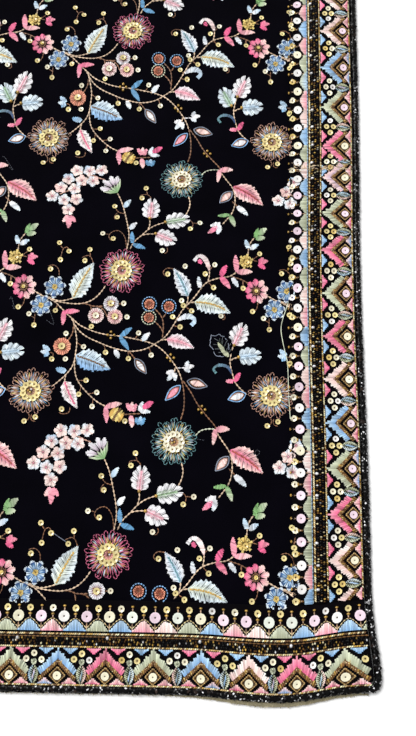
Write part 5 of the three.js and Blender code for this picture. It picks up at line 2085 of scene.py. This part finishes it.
@dataclass(frozen=True)
class Shawl:
    """The whole shawl: its cloth, its edgings and facings, and all the needlework."""

    field_parts: int = 4
    side_flat: Spot = (0.0408, 1.9331)
    end_flat: Spot = (0.7016, 0.0448)
    field_flat: Spot = (0.7016, 2.0226)

    def build(self, finish: dict[Finishes, bpy.types.Material]) -> None:
        """Args:
            finish: The material of each finish.
        """
        cloth, edging = ClothPieces(), Edging()
        ground = self.report(cloth.field(finish[Finishes.VELVET]), "velvet", "field_panel")
        field_trim = self.field_work(finish)
        for name, side, turn in (("right", 1, 0), ("left", -1, 180)):
            band = cloth.side_band(f"{name}_band_cloth", side, finish[Finishes.BAND])
            self.report(band, "band_cloth", f"side_band_{name}")
            stop = CLOTH.length - CLOTH.end_band - CLOTH.seam_gap
            plan = TrimBand(SIDE_PLAN, CLOTH.length - stop, stop, SIDE_ORDER, SIDE_SCALLOPS, 73.0, 58.2, 26.9,
                            12.87, lace_join=322.0,
                            wander=((75, 0), (125, 1.4), (185, 1.4), (235, -1.0), (262, -2.8), (300, -1.6),
                                    (335, -2.8), (395, -4.8)))
            trim = self.band_work(name, plan, 90, turn, finish)
            path, out = edging.side_path(side)
            rim = edging.build(f"{name}_edging", path, out, 0.0, edging.side_height, finish[Finishes.JET])
            self.report(rim, "black_beads", f"side_edging_{name}")
        for name, end, turn in (("front", -1, 0), ("back", 1, 180)):
            band = cloth.end_band(f"{name}_band_cloth", end, finish[Finishes.BAND])
            self.report(band, "band_cloth", f"end_band_{name}")
            plan = TrimBand(END_PLAN, CLOTH.edge - CLOTH.width, -CLOTH.edge, END_ORDER, END_SCALLOPS,
                            -17.2, -7.9, -26.75, -12.9)
            trim = self.band_work(name, plan, 0, turn, finish)
            path, out = edging.hem_path(end)
            rim = edging.build(f"{name}_edging", path, out, edging.hem_base, edging.hem_height,
                               finish[Finishes.JET])
            self.report(rim, "black_beads", f"hem_edging_{name}")
            tape = self.report(Facing().build(f"{name}_facing", end, finish[Finishes.LINEN]), "facing",
                               f"hem_facing_{name}")

    def field_work(self, finish: dict[Finishes, bpy.types.Material]) -> list[bpy.types.Object]:
        """The field's needlework, in lengths from front to back."""
        whole = FieldNeedlework().all_over()
        pieces = []
        stops = np.linspace(-CLOTH.length / 2, CLOTH.length / 2, self.field_parts + 1)
        threads = whole.only(Shape.WEDGE, Shape.STRIP, Shape.SPINDLE)
        for number, (low, high) in enumerate(zip(stops, stops[1:]), 1):
            part = threads.kept(lambda x, y, low=low, high=high: (y >= low) & (y < high))
            piece = part.mesh(f"field_embroidery_{number}", finish[Finishes.THREAD])
            pieces.append(self.report(piece, "threads"))
        for name, shape, look, slot in (("field_sequins", Shape.SPANGLE, Finishes.SEQUIN, "sequins"),
                                        ("field_beads", Shape.BEAD, Finishes.GOLD_BEAD, "gold_beads")):
            pieces.append(self.report(whole.only(shape).mesh(name, finish[look], uneven=0.1), slot))
        return pieces

    def band_work(self, name: str, plan: TrimBand, quarter: float, turn: float,
                  finish: dict[Finishes, bpy.types.Material]) -> list[bpy.types.Object]:
        """One band's needlework and beads, laid in its place.

        Args:
            name: Which band.
            plan: What is sewn.
            quarter: How far it turns from the hem's direction.
            turn: How far the whole corner turns, for the band opposite.
            finish: The material of each finish.

        Returns:
            The new pieces.
        """
        def laid(work: Work) -> Work:
            """Puts s and u where they belong on the shawl."""
            return work.placed(quarter, CLOTH.width / 2, -CLOTH.length / 2).placed(turn, 0, 0)

        sewn = laid(plan.sewn(SEED + len(name)).joined(plan.pale_beads()))
        beading = laid(plan.beading(SEED + 2 * len(name)))
        rows = (
            ("embroidery", sewn.only(Shape.WEDGE, Shape.STRIP, Shape.SPINDLE), Finishes.THREAD, "threads"),
            ("cords", sewn.only(Shape.TWIST), Finishes.THREAD, "gold_thread"),
            ("sequins", sewn.only(Shape.SPANGLE, Shape.DISC), Finishes.SEQUIN, "sequins"),
            ("beads", sewn.only(Shape.BEAD), Finishes.GOLD_BEAD, "gold_beads"),
            ("beading", beading, Finishes.JET, "black_beads"),
        )
        pieces = []
        for label, work, look, slot in rows:
            uneven = 0.08 if label == "sequins" else 0.2
            pieces.append(self.report(work.mesh(f"{name}_{label}", finish[look], uneven=uneven), slot))
        return pieces

    def report(self, piece: bpy.types.Object, slot: str, node: str | None = None) -> bpy.types.Object:
        """Declares a piece to the frame and reports it.

        Args:
            piece: The piece.
            slot: The name of its material slot, for the log.
            node: The frame's node that it replaces.

        Returns:
            The same piece.
        """
        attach(piece, "root")
        if node:
            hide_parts(node)
        LOG.info("%s: %d faces, %s", piece.name, len(piece.data.polygons), slot)
        return piece


@dataclass(frozen=True)
class Studio:
    """The floor, the soft light and the camera."""

    eye: tuple[float, float, float] = (0.25797, -0.90621, 0.3935)
    tilt: float = 11.073
    yaw: float = -0.557
    roll: float = 1.692
    lens: float = 31.79
    key: float = 3.0
    fill: float = 0.42

    def build(self) -> None:
        """Sets the studio up."""
        self.floor()
        self.lights()
        self.camera()

    def floor(self) -> None:
        """A plain pale floor just under the cloth."""
        bm = bmesh.new()
        bmesh.ops.create_grid(bm, x_segments=1, y_segments=1, size=6)
        bmesh.ops.translate(bm, verts=bm.verts, vec=(0, 0, -0.2 * MM))
        mesh = bpy.data.meshes.new("floor")
        bm.to_mesh(mesh)
        bm.free()
        paint = bpy.data.materials.new("pale_floor")
        paint.use_nodes = True
        paint.node_tree.nodes["Principled BSDF"].inputs["Base Color"].default_value = (0.97, 0.97, 0.97, 1)
        paint.node_tree.nodes["Principled BSDF"].inputs["Roughness"].default_value = 0.9
        mesh.materials.append(paint)
        floor = bpy.data.objects.new("floor", mesh)
        bpy.context.scene.collection.objects.link(floor)

    def lights(self) -> None:
        """A broad soft key from the back left, and an even fill."""
        key = bpy.data.lights.new("key", "SUN")
        key.energy = self.key
        key.angle = math.radians(24)
        lamp = bpy.data.objects.new("key", key)
        lamp.rotation_euler = (math.radians(-26), math.radians(-30), 0)
        bpy.context.scene.collection.objects.link(lamp)
        world = bpy.data.worlds.new("studio")
        world.use_nodes = True
        world.node_tree.nodes["Background"].inputs["Color"].default_value = (1, 1, 1, 1)
        world.node_tree.nodes["Background"].inputs["Strength"].default_value = self.fill
        bpy.context.scene.world = world
        bpy.context.scene.view_settings.view_transform = "Standard"

    def camera(self) -> None:
        """A camera over the front right corner, tilted along the shawl."""
        tilt, roll = math.radians(self.tilt), math.radians(self.roll)
        yaw = Matrix.Rotation(math.radians(self.yaw), 3, "Z")
        right = yaw @ Vector((1, 0, 0))
        ahead = yaw @ Vector((0, math.sin(tilt), -math.cos(tilt)))
        up = yaw @ Vector((0, math.cos(tilt), math.sin(tilt)))
        across = math.cos(roll) * right + math.sin(roll) * up
        upward = math.cos(roll) * up - math.sin(roll) * right
        turn = Matrix((across, upward, -ahead)).transposed()
        lens = bpy.data.cameras.new("camera")
        lens.lens = self.lens
        lens.sensor_width = 36
        lens.sensor_fit = "AUTO"
        lens.clip_start = 0.01
        lens.clip_end = 20
        eye = bpy.data.objects.new("camera", lens)
        eye.matrix_world = Matrix.Translation(self.eye) @ turn.to_4x4()
        bpy.context.scene.collection.objects.link(eye)
        bpy.context.scene.camera = eye


def main() -> None:
    """Dresses the shawl and sets the studio up."""
    logging.basicConfig(level=logging.INFO, format="%(name)s: %(message)s")
    fibre = fibre_group()
    Shawl().build({finish: finish.value.material(fibre) for finish in Finishes})
    Studio().build()


if __name__ == "__main__":
    main()
